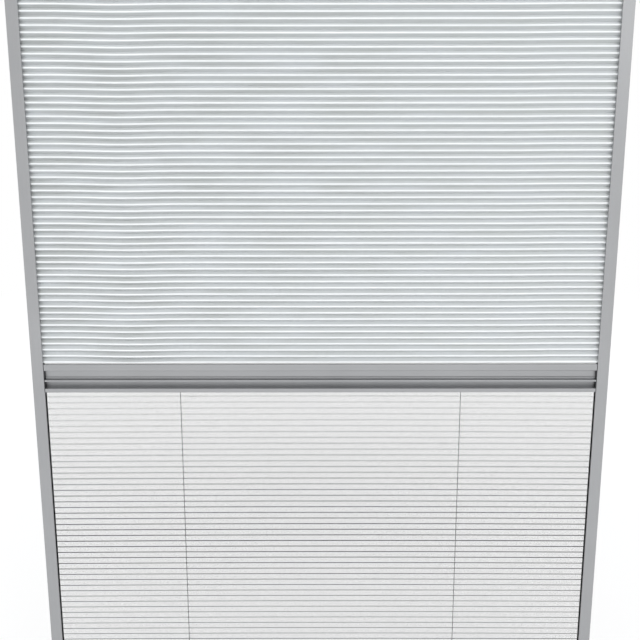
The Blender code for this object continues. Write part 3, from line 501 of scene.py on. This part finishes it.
def tube(name, path, radius, sides, material):
    """A round tube along a path, with a closed end at both ends."""
    path = [Vector(p) for p in path]
    verts, faces = [], []
    side = Vector((0.3, 0.9, 0.2))
    for i, here in enumerate(path):
        ahead = path[min(i + 1, len(path) - 1)] - path[max(i - 1, 0)]
        ahead.normalize()
        side = side - ahead * ahead.dot(side)
        side.normalize()
        other = ahead.cross(side)
        for k in range(sides):
            at = 2 * math.pi * k / sides
            verts.append(here + (side * math.cos(at) + other * math.sin(at)) * radius)
    for i in range(len(path) - 1):
        for k in range(sides):
            first, second = i * sides + k, i * sides + (k + 1) % sides
            faces.append((first, second, second + sides, first + sides))
    faces.append(tuple(reversed(range(sides))))
    faces.append(tuple(range(len(verts) - sides, len(verts))))
    return piece(name, verts, faces, material, smooth=60)


# Folded sheets

HALVINGS = 60


def fold_angle(radius, pitch):
    """The angle from straight ahead at which a nose's arc runs into its panels."""
    low, high = math.radians(45), math.radians(80)
    depth = FOLD_BACK - FOLD_FRONT
    for _ in range(HALVINGS):
        turn = (low + high) / 2
        rise = radius * math.sin(turn) + (depth - radius * (1 - math.cos(turn))) / math.tan(turn)
        low, high = (turn, high) if rise > pitch / 2 else (low, turn)
    return turn


def fold_line(start, first_nose, end, up, pitch, radius, steps):
    """The fold line in (y, z) from the bar to the rail, and the places of its back folds in it.

    A short last panel stays with the pleat before it.
    """
    turn = fold_angle(radius, pitch)
    points, valleys = [(FOLD_BACK, start)], [0]
    room = abs(end - first_nose) - pitch / 2 - LAST_PANEL_RISE
    for k in range(int(room / pitch) + 1):
        z = first_nose + up * k * pitch
        for j in range(steps + 1):
            at = turn * (2 * j / steps - 1)
            points.append((FOLD_FRONT + radius * (1 - math.cos(at)), z + up * radius * math.sin(at)))
        valleys.append(len(points))
        points.append((FOLD_BACK, z + up * pitch / 2))
    points.append((FOLD_FRONT + radius, end))
    if math.dist(points[-1], points[-2]) < SHORT_PANEL:
        valleys.pop()
    return points, [*valleys, len(points) - 1]


def rise_of(t):
    """The share of the far body at a place between the two ends of a blend."""
    return t * t * (3 - 2 * t)


def place_of(value):
    """The place between the two ends of a blend that has a given share."""
    low, high = 0.0, 1.0
    for _ in range(HALVINGS):
        middle = (low + high) / 2
        low, high = (middle, high) if rise_of(middle) < value else (low, middle)
    return (low + high) / 2


def evenness(first, last):
    """How much faster the blend runs somewhere in a stretch than over the whole of it."""
    t0, t1 = sorted((place_of(first), place_of(last)))
    mean = abs(last - first) / (t1 - t0)
    fastest = max(6 * t * (1 - t) for t in (t0, t1, min(max(0.5, t0), t1)))
    return fastest / mean


def stretches(shares, limit):
    """Runs of pleats over which the folding stays even, from both ends to the middle."""
    count = len(shares) - 1
    cuts = []
    for order in (range(count + 1), range(count, -1, -1)):
        at = order[0]
        side = [at]
        step = 1 if order[0] == 0 else -1
        while (at - count / 2) * step < 0:
            then = at + step
            while (then + step - count / 2) * step <= 0:
                if evenness(shares[at], shares[then + step]) > limit:
                    break
                then += step
            side.append(then)
            at = then
        cuts.append(side)
    near, far = cuts
    joined = sorted({c for c in near if c <= count // 2} | {c for c in far if c > count // 2})
    return list(zip(joined, joined[1:]))


def blend_ends(marks):
    """The two ends of a blend that gives each (y, z, share) mark its share of the bar's travel."""
    rows = [(1.0, z, y) if len(marks) == 3 else (1.0, z, 0.0) for y, z, _ in marks]
    wanted = [place_of(value) for _, _, value in marks]
    offset, along, back = np.linalg.lstsq(np.array(rows), np.array(wanted), rcond=None)[0]
    size = along * along + back * back
    start = Vector((0, -offset * back / size, -offset * along / size))
    return start, start + Vector((0, back / size, along / size))


def folded_pieces(base, line, valleys, limit):
    """Cut a fold line into pieces whose pleats all open evenly: (name, points, blend ends)."""
    start, end = line[0][1], line[-1][1]
    shares = [(end - line[v][1]) / (end - start) for v in valleys]
    made = []
    for place, (first, last) in enumerate(stretches(shares, limit), 1):
        points = line[valleys[first]:valleys[last] + 1]
        picked = [points[0], points[-1]]
        if last - first == 1 and len(points) > 3:
            picked.insert(1, points[len(points) // 2])
        marks = [(y, z, (end - z) / (end - start)) for y, z in picked]
        made.append((f"{base}_{place:02d}", points, blend_ends(marks)))
    return made


def ramp(x, start, run):
    """0 up to a place, and then a smooth rise to 1 over a run."""
    return rise_of(min(max((x - start) / run, 0), 1))


def blind_wave(x):
    """How far the blind's folds lie above or below straight, across the width, in metres.

    They dip at the left, rise a little towards both sides, and more so in the last 10 cm.
    """
    dip = -0.0013 * math.exp(-(((x + 0.36) / 0.06) ** 2))
    return dip + 0.0003 * abs(x) / 0.4 + 0.0005 * ramp(-x, 0.40, 0.08) + 0.0008 * ramp(x, 0.34, 0.12)


def screen_wave(x):
    """How far the screen's folds hang below straight: 1 mm at 42 cm from the middle."""
    return -0.0010 * (x / 0.42) ** 2


def fade(z, start, end):
    """No wave at the strips that hold a sheet's two ends, and the whole wave between them."""
    return rise_of(min(abs(z - start) / WAVE_IN_FROM_BAR, abs(z - end) / WAVE_OUT_AT_RAIL, 1))


def folded_sheet(name, points, columns, wave, ends, thickness, material):
    """A folded sheet drawn across the width, closed where it has a thickness."""
    start, end = ends
    layers = [points]
    if thickness:
        layers = [offset_line(points, thickness / 2), offset_line(points, -thickness / 2)]
    xs = [FABRIC_REACH * (2 * i / columns - 1) for i in range(columns + 1)]
    lifts = [wave(x) for x in xs]
    verts = [
        (x, y, z + lift * fade(z, start, end)) for layer in layers for y, z in layer
        for x, lift in zip(xs, lifts)
    ]
    rows, wide = len(points), columns + 1
    faces = []
    for level in range(len(layers)):
        base = level * rows * wide
        for r in range(rows - 1):
            for c in range(columns):
                a = base + r * wide + c
                quad = (a, a + 1, a + 1 + wide, a + wide)
                faces.append(quad if level == 0 else tuple(reversed(quad)))
    if thickness:
        other = rows * wide
        rims = [(r * wide + c, wide, c == 0) for r in range(rows - 1) for c in (0, columns)]
        rims += [(r * wide + c, 1, r > 0) for c in range(columns) for r in (0, rows - 1)]
        for a, step, forward in rims:
            quad = (a, a + step, a + step + other, a + other)
            faces.append(quad if forward else quad[::-1])
    return piece(name, verts, faces, material, smooth=28)


def offset_line(points, reach):
    """A line beside the fold line, mitred at its corners."""
    moved = []
    for i, point in enumerate(points):
        here = Vector(point)
        before = (here - Vector(points[i - 1])).normalized() if i else None
        after = (Vector(points[i + 1]) - here).normalized() if i + 1 < len(points) else None
        if before is None or after is None:
            panel = before or after
            away = reach / max(abs(panel.y), 0.3)
            moved.append((here.x + (away if panel.y > 0 else -away), here.y))
            continue
        normal = Vector((before.y + after.y, -(before + after).x)).normalized()
        size = reach / normal.dot(Vector((after.y, -after.x)))
        moved.append((here.x + normal.x * size, here.y + normal.y * size))
    return moved


def weft(name, points, first, settings, ends):
    """The screen's threads that run across, one bar for each along the fold line, and its creases."""
    start, end = ends
    radius, spacing = settings.cross_thread / 2, settings.spacing
    verts, faces = [], []
    travelled = 0.0
    places = []
    target = first
    for p, q in zip(points, points[1:]):
        length = math.dist(p, q)
        while target < travelled + length:
            part = (target - travelled) / length
            places.append((p[0] + (q[0] - p[0]) * part, p[1] + (q[1] - p[1]) * part, radius))
            target += spacing
        travelled += length
    noses = [
        points[i] for i in range(1, len(points) - 1)
        if points[i][0] < points[i - 1][0] - 1e-9 and points[i][0] <= points[i + 1][0] - 1e-9
    ]
    for y, z in noses:
        pressed = rise_of(min(2 * (start - z) / (start - end), 1))
        places.append((y + settings.nose_radius / 2, z, radius + settings.crease / 2 * pressed))
    for y, z, tall in places:
        base = len(verts)
        for column in range(SCREEN_COLUMNS + 1):
            x = FABRIC_REACH * (2 * column / SCREEN_COLUMNS - 1)
            lift = screen_wave(x) * fade(z, start, end)
            for dy, dz in ((radius, 0), (0, tall), (-radius, 0), (0, -tall)):
                verts.append((x, y + dy, z + dz + lift))
        last = len(verts) - 4
        for ring in range(base, last, 4):
            for k in range(4):
                n = (k + 1) % 4
                faces.append((ring + k, ring + n, ring + 4 + n, ring + 4 + k))
        faces += [(base + 3, base + 2, base + 1, base), (last, last + 1, last + 2, last + 3)]
    return piece(name, verts, faces, "screen_weft", smooth=100), target - travelled


def make_blind():
    """Every pleat of the blind, from the bar's strip to the top rail's strip."""
    settings = bpy.context.scene.blind_settings
    line, valleys = fold_line(
        BLIND_START, BLIND_FIRST_NOSE, BLIND_END, 1, BLIND_PITCH, settings.nose_radius,
        BLIND_NOSE_STEPS,
    )
    ends = (line[0][1], line[-1][1])
    for name, points, (start, end) in folded_pieces("blind_pleats", line, valleys, BLIND_EVENNESS):
        sheet = folded_sheet(
            name, points, BLIND_COLUMNS, blind_wave, ends, BLIND_SHEET, "white_pleat_fabric",
        )
        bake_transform(sheet)
        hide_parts("blind_fabric")


def make_screen():
    """Every pleat of the screen: a sheet for the upright threads and bars for the others."""
    settings = bpy.context.scene.screen_settings
    line, valleys = fold_line(
        SCREEN_START, SCREEN_FIRST_NOSE, SCREEN_END, -1, SCREEN_PITCH, settings.nose_radius,
        SCREEN_NOSE_STEPS,
    )
    ends = (line[0][1], line[-1][1])
    first = settings.spacing / 2
    for name, points, (start, end) in folded_pieces("screen_pleats", line, valleys, SCREEN_EVENNESS):
        sheet = folded_sheet(
            name, points, SCREEN_COLUMNS, screen_wave, ends, 0, "screen_warp"
        )
        threads, first = weft(name.replace("pleats", "weft"), points, first, settings, ends)
        for made in (sheet, threads):
            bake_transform(made)
            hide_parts("insect_mesh")


# Cords

QUARTER_STEPS = 6


def cord_parts(cord, side):
    """A guide cord's route: down to the bar, round two rollers inside it, and down to the shoe."""
    y = CORD_Y[cord]
    inner = CORD_X - ROLLER_RADIUS
    high, low = CORD_CROSSING + ROLLER_RADIUS, CORD_CROSSING - ROLLER_RADIUS
    quarter = [math.pi / 2 * k / QUARTER_STEPS for k in range(QUARTER_STEPS + 1)]
    arc = [(ROLLER_RADIUS * math.cos(a), ROLLER_RADIUS * math.sin(a)) for a in quarter]
    first = [(side * (inner + out), y, high - down) for out, down in arc]
    second = [(-side * (inner + down), y, low + out) for out, down in arc]
    return {
        "upper": [(side * CORD_X, y, CORD_TOP), first[0]],
        "crossing": first + second,
        "lower": [second[-1], (-side * CORD_X, y, CORD_FOOT)],
    }


def make_cords():
    """Both guide cords, each in three runs: above the bar, inside it and below it."""
    settings = bpy.context.scene.cord_settings
    for cord, side in (("a", -1), ("b", 1)):
        for part, path in cord_parts(cord, side).items():
            made = tube(
                f"guide_cord_{cord}_{part}", path, settings.diameter / 2, 12, "braided_cord"
            )
            if part == "crossing":
                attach(made, "bar")
            else:
                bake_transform(made)
            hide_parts(f"guide_cord_{cord}")


# Small parts

BRISTLE_SPACING = 0.0006
BRISTLE_RADIUS = 0.00022
BRISTLE_ROWS = (-0.0008, -0.00027, 0.00027, 0.0008)
BRISTLE_EDGES = (0, 2.094, 4.189)
UNEVEN_TIPS = 0.0007
LEAN_BACK = 0.00025
LEAN_UP = 0.0003
BRUSH_BACKING = 0.0007
BRUSH_HALF_CORE = 0.0010
FELT_EDGE = 0.0003
FELT_CUTS = 14
FELT_PITS = 0.00006
SPRING_WIRE = 0.0002
SPRING_TURNS = 6
SPRING_STEPS = 28
SCREW_HEAD_HEIGHT = 0.0014
SCREW_HEAD_RADIUS = 0.0024
SCREW_HEAD_STEPS = 7
SCREW_CROWN = 0.0010
THREAD_START = 0.0004
THREAD_END = 0.0008
THREAD_CREST = 0.0012
THREAD_ROOT = 0.0009
THREAD_PITCH = 0.0006
RECESS = (0.0026, 0.00055, 0.0016)
RECESS_DEPTH = 0.0002


def brush(side_name):
    """A brush seal: its backing strip, a dense core, and rows of fine bristles."""
    side = SIDES[side_name]
    low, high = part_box(f"{side_name}_brush_seal")
    tip, root = sorted((abs(low.x), abs(high.x)))
    middle = (low.y + high.y) / 2
    foot = root - BRUSH_BACKING
    bm = bmesh.new()
    for inner, outer, half in (
        (foot, root, (high.y - low.y) / 2), (tip + UNEVEN_TIPS, foot, BRUSH_HALF_CORE),
    ):
        size = (outer - inner, 2 * half, high.z - low.z)
        place = Matrix.Translation((side * (inner + outer) / 2, middle, (low.z + high.z) / 2))
        bmesh.ops.create_cube(bm, size=1, matrix=place @ Matrix.Diagonal((*size, 1)))
    draw = random.Random(11 if side > 0 else 12)
    for row, y in enumerate(BRISTLE_ROWS):
        z = low.z + BRISTLE_SPACING * (0.3 + 0.25 * row)
        while z < high.z - BRISTLE_SPACING / 2:
            reach = draw.uniform(0.0, UNEVEN_TIPS)
            lean_y = draw.uniform(-LEAN_BACK, LEAN_BACK)
            lean_z = draw.uniform(-LEAN_UP, LEAN_UP)
            ring = [
                bm.verts.new((
                    side * foot, middle + y + BRISTLE_RADIUS * math.cos(a),
                    z + BRISTLE_RADIUS * math.sin(a),
                ))
                for a in BRISTLE_EDGES
            ]
            point = bm.verts.new((
                side * (tip + reach), middle + y + lean_y, min(max(z + lean_z, low.z), high.z)
            ))
            for i in range(3):
                bm.faces.new((ring[i], ring[(i + 1) % 3], point))
            bm.faces.new(reversed(ring))
            z += BRISTLE_SPACING
    made = piece_from(f"{side_name}_brush_bristles", bm, "brush_fibre")
    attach(made, "frame")
    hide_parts(f"{side_name}_brush_seal")


def brake_pad(side_name):
    """A felt pad with softened edges and an uneven, fibrous face."""
    low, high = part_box(f"{side_name}_brake_pad")
    size, middle = high - low, (low + high) / 2
    bm = bmesh.new()
    bmesh.ops.create_cube(bm, size=1, matrix=Matrix.Translation(middle) @ Matrix.Diagonal((*size, 1)))
    bmesh.ops.bevel(bm, geom=bm.edges[:], offset=FELT_EDGE, segments=2, affect="EDGES", profile=0.5)
    long_edges = [e for e in bm.edges if e.calc_length() > 0.004]
    bmesh.ops.subdivide_edges(bm, edges=long_edges, cuts=FELT_CUTS, use_grid_fill=True)
    draw = random.Random(21)
    for vert in bm.verts:
        vert.co += Vector([
            -math.copysign(draw.uniform(0, FELT_PITS), vert.co[i] - middle[i]) for i in range(3)
        ])
    made = piece_from(f"{side_name}_felt_pad", bm, "felt_fibre", smooth=60)
    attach(made, "bar")
    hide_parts(f"{side_name}_brake_pad")


def spring(side_name):
    """An open compression spring of round wire."""
    low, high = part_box(f"{side_name}_tension_spring")
    radius = (high.x - low.x) / 2 - SPRING_WIRE
    middle = (low + high) / 2
    height = high.z - low.z - 2 * SPRING_WIRE
    count = SPRING_TURNS * SPRING_STEPS
    path = []
    for k in range(count + 1):
        at = 2 * math.pi * k / SPRING_STEPS
        path.append((
            middle.x + radius * math.cos(at), middle.y + radius * math.sin(at),
            low.z + SPRING_WIRE + height * k / count,
        ))
    made = tube(f"{side_name}_shoe_spring", path, SPRING_WIRE, 8, "zinc_steel")
    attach(made, "frame")
    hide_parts(f"{side_name}_tension_spring")


def screw_piece(node, axis):
    """A pan-head screw with a cross recess and a threaded shank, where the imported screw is."""
    low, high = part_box(node)
    axis = Vector(axis)
    middle = (low + high) / 2
    length = abs((high - low).dot(axis))
    profile = [(0, 0)]
    for k in range(1, SCREW_HEAD_STEPS + 1):
        at = math.pi / 2 * k / SCREW_HEAD_STEPS
        profile.append((SCREW_HEAD_RADIUS * math.sin(at) ** 0.8, SCREW_CROWN * (1 - math.cos(at))))
    profile += [(SCREW_HEAD_RADIUS, SCREW_HEAD_HEIGHT), (THREAD_CREST, SCREW_HEAD_HEIGHT)]
    z = SCREW_HEAD_HEIGHT + THREAD_START
    while z + THREAD_PITCH < length - THREAD_END:
        profile += [(THREAD_ROOT, z), (THREAD_CREST, z + THREAD_PITCH / 2)]
        z += THREAD_PITCH
    profile += [(THREAD_ROOT, z), (0.0, length)]
    bm = bmesh.new()
    points = [bm.verts.new((r, 0, h)) for r, h in profile]
    edges = [bm.edges.new(pair) for pair in zip(points, points[1:])]
    bmesh.ops.spin(
        bm, geom=points + edges, cent=(0, 0, 0), axis=(0, 0, 1), dvec=(0, 0, 0), angle=2 * math.pi,
        steps=24, use_merge=True,
    )
    bmesh.ops.remove_doubles(bm, verts=bm.verts, dist=1e-6)
    turn = Vector((0, 0, 1)).rotation_difference(axis).to_matrix().to_4x4()
    place = Matrix.Translation(middle - axis * length / 2) @ turn
    made = piece_from(f"{node}_detailed", bm, "zinc_steel", smooth=35)
    cross = bmesh.new()
    for quarter in (0, math.pi / 2):
        arm = Matrix.Rotation(quarter, 4, "Z") @ Matrix.Translation((0, 0, RECESS_DEPTH))
        bmesh.ops.create_cube(cross, size=1, matrix=arm @ Matrix.Diagonal((*RECESS, 1)))
    carve(made, piece_from("screw_recess", cross, "zinc_steel"))
    made.data.transform(place)
    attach(made, "frame")
    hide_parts(node)


def carve(obj, cutter):
    """Cut one object out of another, and leave no modifier and no cutter behind."""
    modifier = obj.modifiers.new("recess", "BOOLEAN")
    modifier.operation = "DIFFERENCE"
    modifier.solver = "EXACT"
    modifier.use_self = True
    modifier.object = cutter
    bpy.context.view_layer.update()
    cut = bpy.data.meshes.new_from_object(obj.evaluated_get(bpy.context.evaluated_depsgraph_get()))
    obj.modifiers.clear()
    obj.data = cut
    bpy.data.objects.remove(cutter)


# Operators


class BLIND_OT_camera(bpy.types.Operator):
    """Stand the camera in front of the frame, looking a little down"""

    bl_idname = "pleated_blind.camera"
    bl_label = "Camera"

    def execute(self, context):
        settings = context.scene.view_settings_blind
        data = bpy.data.cameras.new("camera")
        data.lens = settings.lens
        camera = bpy.data.objects.new("camera", data)
        camera.location = (settings.aside, -settings.distance, settings.height)
        level = Matrix.Rotation(math.pi / 2 - settings.tilt, 3, "X")
        camera.rotation_euler = (level @ Matrix.Rotation(settings.roll, 3, "Z")).to_euler()
        context.scene.collection.objects.link(camera)
        context.scene.camera = camera
        return {"FINISHED"}


class BLIND_OT_guide_cords(bpy.types.Operator):
    """Thread the two guide cords that keep the bar level"""

    bl_idname = "pleated_blind.guide_cords"
    bl_label = "Guide Cords"

    def execute(self, context):
        make_cords()
        return {"FINISHED"}


class BLIND_OT_blind_fabric(bpy.types.Operator):
    """Fold the white blind between the bar and the top rail"""

    bl_idname = "pleated_blind.blind_fabric"
    bl_label = "Blind Fabric"

    def execute(self, context):
        make_blind()
        return {"FINISHED"}


class BLIND_OT_insect_screen(bpy.types.Operator):
    """Fold the black screen between the bar and the bottom rail"""

    bl_idname = "pleated_blind.insect_screen"
    bl_label = "Insect Screen"

    def execute(self, context):
        make_screen()
        return {"FINISHED"}


class BLIND_OT_frame_rails(bpy.types.Operator):
    """Finish the four rails in satin aluminium"""

    bl_idname = "pleated_blind.frame_rails"
    bl_label = "Frame Rails"

    def execute(self, context):
        redress(["top_rail", "bottom_rail"], "satin_aluminium_across", 50)
        redress(["left_side_rail", "right_side_rail"], "satin_aluminium_upright", 50)
        return {"FINISHED"}


class BLIND_OT_pull_bar(bpy.types.Operator):
    """Finish the two halves of the pull bar in satin aluminium"""

    bl_idname = "pleated_blind.pull_bar"
    bl_label = "Pull Bar"

    def execute(self, context):
        redress(["bar_blind_profile", "bar_screen_profile"], "satin_aluminium_across", 50)
        return {"FINISHED"}


class BLIND_OT_corner_caps(bpy.types.Operator):
    """Finish the four moulded corner caps"""

    bl_idname = "pleated_blind.corner_caps"
    bl_label = "Corner Caps"

    def execute(self, context):
        names = [f"corner_cap_{end}_{side}" for end in ("top", "bottom") for side in SIDES]
        redress(names, "grey_moulding")
        return {"FINISHED"}


class BLIND_OT_fabric_strips(bpy.types.Operator):
    """Finish the strips that hold the ends of the two fabrics"""

    bl_idname = "pleated_blind.fabric_strips"
    bl_label = "Fabric Strips"

    def execute(self, context):
        names = ["blind_head_strip", "blind_foot_strip", "mesh_head_strip", "mesh_foot_strip"]
        redress(names, "white_strip")
        return {"FINISHED"}


class BLIND_OT_bar_mouldings(bpy.types.Operator):
    """Finish the gliders, cradles and rollers of the pull bar, and their pins"""

    bl_idname = "pleated_blind.bar_mouldings"
    bl_label = "Bar Mouldings"

    def execute(self, context):
        for side in SIDES:
            redress([f"{side}_bar_glider", f"{side}_cord_cradle"], "black_moulding")
            for level in ("upper", "lower"):
                redress([f"{side}_{level}_roller"], "white_moulding", 40)
                redress([f"{side}_{level}_roller_pin"], "zinc_steel", 40)
        return {"FINISHED"}


class BLIND_OT_cord_ends(bpy.types.Operator):
    """Finish the cords' plugs, shoes and stops, and wind the shoes' springs"""

    bl_idname = "pleated_blind.cord_ends"
    bl_label = "Cord Ends"

    def execute(self, context):
        redress(["cord_plug_a", "cord_plug_b"], "black_moulding", 40)
        for side in SIDES:
            redress([f"{side}_tension_shoe"], "black_moulding")
            redress([f"{side}_cord_stop"], "zinc_steel", 40)
            spring(side)
        return {"FINISHED"}


class BLIND_OT_brush_seals(bpy.types.Operator):
    """Set the bristles of the two brush seals"""

    bl_idname = "pleated_blind.brush_seals"
    bl_label = "Brush Seals"

    def execute(self, context):
        for side in SIDES:
            brush(side)
        return {"FINISHED"}


class BLIND_OT_brake_pads(bpy.types.Operator):
    """Cut the two felt brake pads"""

    bl_idname = "pleated_blind.brake_pads"
    bl_label = "Brake Pads"

    def execute(self, context):
        for side in SIDES:
            brake_pad(side)
        return {"FINISHED"}


class BLIND_OT_screws(bpy.types.Operator):
    """Drive the screws of the corners and the shoes"""

    bl_idname = "pleated_blind.screws"
    bl_label = "Screws"

    def execute(self, context):
        for side_name, side in SIDES.items():
            for end, up in (("top", 1), ("bottom", -1)):
                screw_piece(f"corner_screw_{end}_{side_name}_side", (side, 0, 0))
                screw_piece(f"corner_screw_{end}_{side_name}_end", (0, 0, up))
            screw_piece(f"{side_name}_tension_shoe_screw", (0, 0, -1))
        return {"FINISHED"}


class BLIND_OT_stage(bpy.types.Operator):
    """Lay a pale floor and light it softly"""

    bl_idname = "pleated_blind.stage"
    bl_label = "Stage"

    def execute(self, context):
        settings = context.scene.stage_settings
        lay_floor(settings.floor)
        light_sky(settings.sky)
        for name, look in LIGHTS.items():
            area_light(f"{name}_light", getattr(settings, name), *look)
        return {"FINISHED"}


# Floor and light: each light's place, aim, size and whether mirrors see it

LIGHTS = {
    "key": ((-0.2, -4.4, 1.8), (0, 0, 0.9), 5.0, False),
    "side": ((2.3, -4.4, 2.7), (0.5, 0, 1.3), 1.6, True),
    "back": ((0.6, 12.0, 1.6), (0, 0, 0.9), 3.0, False),
}
GLOW = {"near": 0.8, "far": 3.0, "at_near": 0.68, "at_far": 0.77}
WHITE_OUT = {"near": 2.6, "far": 5.5, "at_near": 0.0, "at_far": 1.0}
FLOOR_SHADE = (0.55, 0.55, 0.55, 1)
FLOOR_SEEN = (0.42, 0.42, 0.42, 1)
SKY_TINT = (0.97, 0.985, 1.0, 1)
WHITE = (1, 1, 1, 1)


def fed(tree, kind, *sources):
    """A node whose first inputs are linked to other nodes' outputs."""
    made = tree.nodes.new(kind)
    for socket, source in zip(made.inputs, sources):
        tree.links.new(source, socket)
    return made


def coloured(tree, kind, tint):
    """The output of a shader node that has one colour."""
    made = tree.nodes.new(kind)
    made.inputs["Color"].default_value = tint
    return made.outputs[0]


def seen_directly(tree):
    """1 for the camera's and mirrors' own view of a surface, and 0 for the light it sends on."""
    path = tree.nodes.new("ShaderNodeLightPath")
    seen = path.outputs["Is Camera Ray"]
    for kind in ("Is Glossy Ray", "Is Transmission Ray"):
        either = fed(tree, "ShaderNodeMath", seen, path.outputs[kind])
        either.operation = "MAXIMUM"
        seen = either.outputs[0]
    return seen


def split_by_view(tree, lit, seen, output):
    """Give a surface one shader for the light it sends on and another for how it is seen."""
    mix = fed(tree, "ShaderNodeMixShader", seen_directly(tree), lit, seen)
    fed(tree, output, mix.outputs[0])


def lay_floor(radius):
    """A pale round floor that keeps the object's shadow and turns white far away."""
    bm = bmesh.new()
    bmesh.ops.create_circle(bm, cap_ends=True, segments=96, radius=radius)
    mesh = bpy.data.meshes.new("floor")
    bm.to_mesh(mesh)
    bm.free()
    floor = bpy.data.objects.new("floor", mesh)
    floor.location = (0, 0, -0.0005)
    bpy.context.scene.collection.objects.link(floor)
    made = bpy.data.materials.new("pale_floor")
    made.use_nodes = True
    tree = made.node_tree
    tree.nodes.clear()
    lit = coloured(tree, "ShaderNodeBsdfDiffuse", FLOOR_SHADE)
    shadowed = coloured(tree, "ShaderNodeBsdfDiffuse", FLOOR_SEEN)
    glow = tree.nodes.new("ShaderNodeEmission")
    tree.links.new(by_distance(tree, **GLOW), glow.inputs["Strength"])
    near = fed(tree, "ShaderNodeAddShader", shadowed, glow.outputs[0]).outputs[0]
    far = coloured(tree, "ShaderNodeEmission", WHITE)
    seen = fed(tree, "ShaderNodeMixShader", by_distance(tree, **WHITE_OUT), near, far)
    split_by_view(tree, lit, seen.outputs[0], "ShaderNodeOutputMaterial")
    mesh.materials.append(made)


def by_distance(tree, near, far, at_near, at_far):
    """A value that runs evenly from at_near to at_far between two distances from the object's foot."""
    place = tree.nodes.new("ShaderNodeTexCoord")
    distance = fed(tree, "ShaderNodeVectorMath", place.outputs["Object"])
    distance.operation = "LENGTH"
    made = fed(tree, "ShaderNodeMapRange", distance.outputs["Value"])
    for name, end in zip(RANGE_INPUTS, (near, far, at_near, at_far)):
        made.inputs[name].default_value = end
    return made.outputs["Result"]


def light_sky(strength):
    """Even light from all round, and plain white where it is seen directly."""
    world = bpy.data.worlds.new("soft_sky")
    bpy.context.scene.world = world
    world.use_nodes = True
    tree = world.node_tree
    tree.nodes.clear()
    even = coloured(tree, "ShaderNodeBackground", SKY_TINT)
    even.node.inputs["Strength"].default_value = strength
    white = coloured(tree, "ShaderNodeBackground", WHITE)
    split_by_view(tree, even, white, "ShaderNodeOutputWorld")


def area_light(name, strength, place, aim, size, mirrored):
    data = bpy.data.lights.new(name, "AREA")
    data.shape = "SQUARE"
    data.size = size
    data.energy = strength
    light = bpy.data.objects.new(name, data)
    light.location = place
    light.rotation_euler = (Vector(aim) - Vector(place)).to_track_quat("-Z", "Y").to_euler()
    light.visible_camera = False
    light.visible_glossy = mirrored
    bpy.context.scene.collection.objects.link(light)


OPERATORS = (
    BLIND_OT_camera, BLIND_OT_guide_cords, BLIND_OT_blind_fabric, BLIND_OT_insect_screen,
    BLIND_OT_frame_rails, BLIND_OT_pull_bar, BLIND_OT_corner_caps, BLIND_OT_fabric_strips,
    BLIND_OT_bar_mouldings, BLIND_OT_cord_ends, BLIND_OT_brush_seals, BLIND_OT_brake_pads,
    BLIND_OT_screws, BLIND_OT_stage,
)
SETTINGS = {
    "view_settings_blind": ViewSettings,
    "blind_settings": BlindSettings,
    "screen_settings": ScreenSettings,
    "cord_settings": CordSettings,
    "metal_settings": MetalSettings,
    "trim_settings": TrimSettings,
    "stage_settings": StageSettings,
}


class BLIND_PT_pieces(bpy.types.Panel):
    """The pieces of the blind and their settings"""

    bl_label = "Pleated Blind"
    bl_idname = "BLIND_PT_pieces"
    bl_space_type = "VIEW_3D"
    bl_region_type = "UI"
    bl_category = "Pleated Blind"

    def draw(self, context):
        for operator in OPERATORS:
            self.layout.operator(operator.bl_idname)
        for name, group in SETTINGS.items():
            settings = getattr(context.scene, name)
            box = self.layout.box()
            box.label(text=name.replace("_", " ").capitalize())
            for prop in group.__annotations__:
                box.prop(settings, prop)


CLASSES = (*SETTINGS.values(), *OPERATORS, BLIND_PT_pieces)


def register():
    for made in CLASSES:
        bpy.utils.register_class(made)
    for name, group in SETTINGS.items():
        setattr(bpy.types.Scene, name, bpy.props.PointerProperty(type=group))


def unregister():
    for name in SETTINGS:
        delattr(bpy.types.Scene, name)
    for made in reversed(CLASSES):
        bpy.utils.unregister_class(made)


def main():
    register()
    bpy.context.scene.view_settings.view_transform = "Standard"
    for operator in OPERATORS:
        getattr(bpy.ops.pleated_blind, operator.bl_idname.split(".")[1])()


if __name__ == "__main__":
    main()
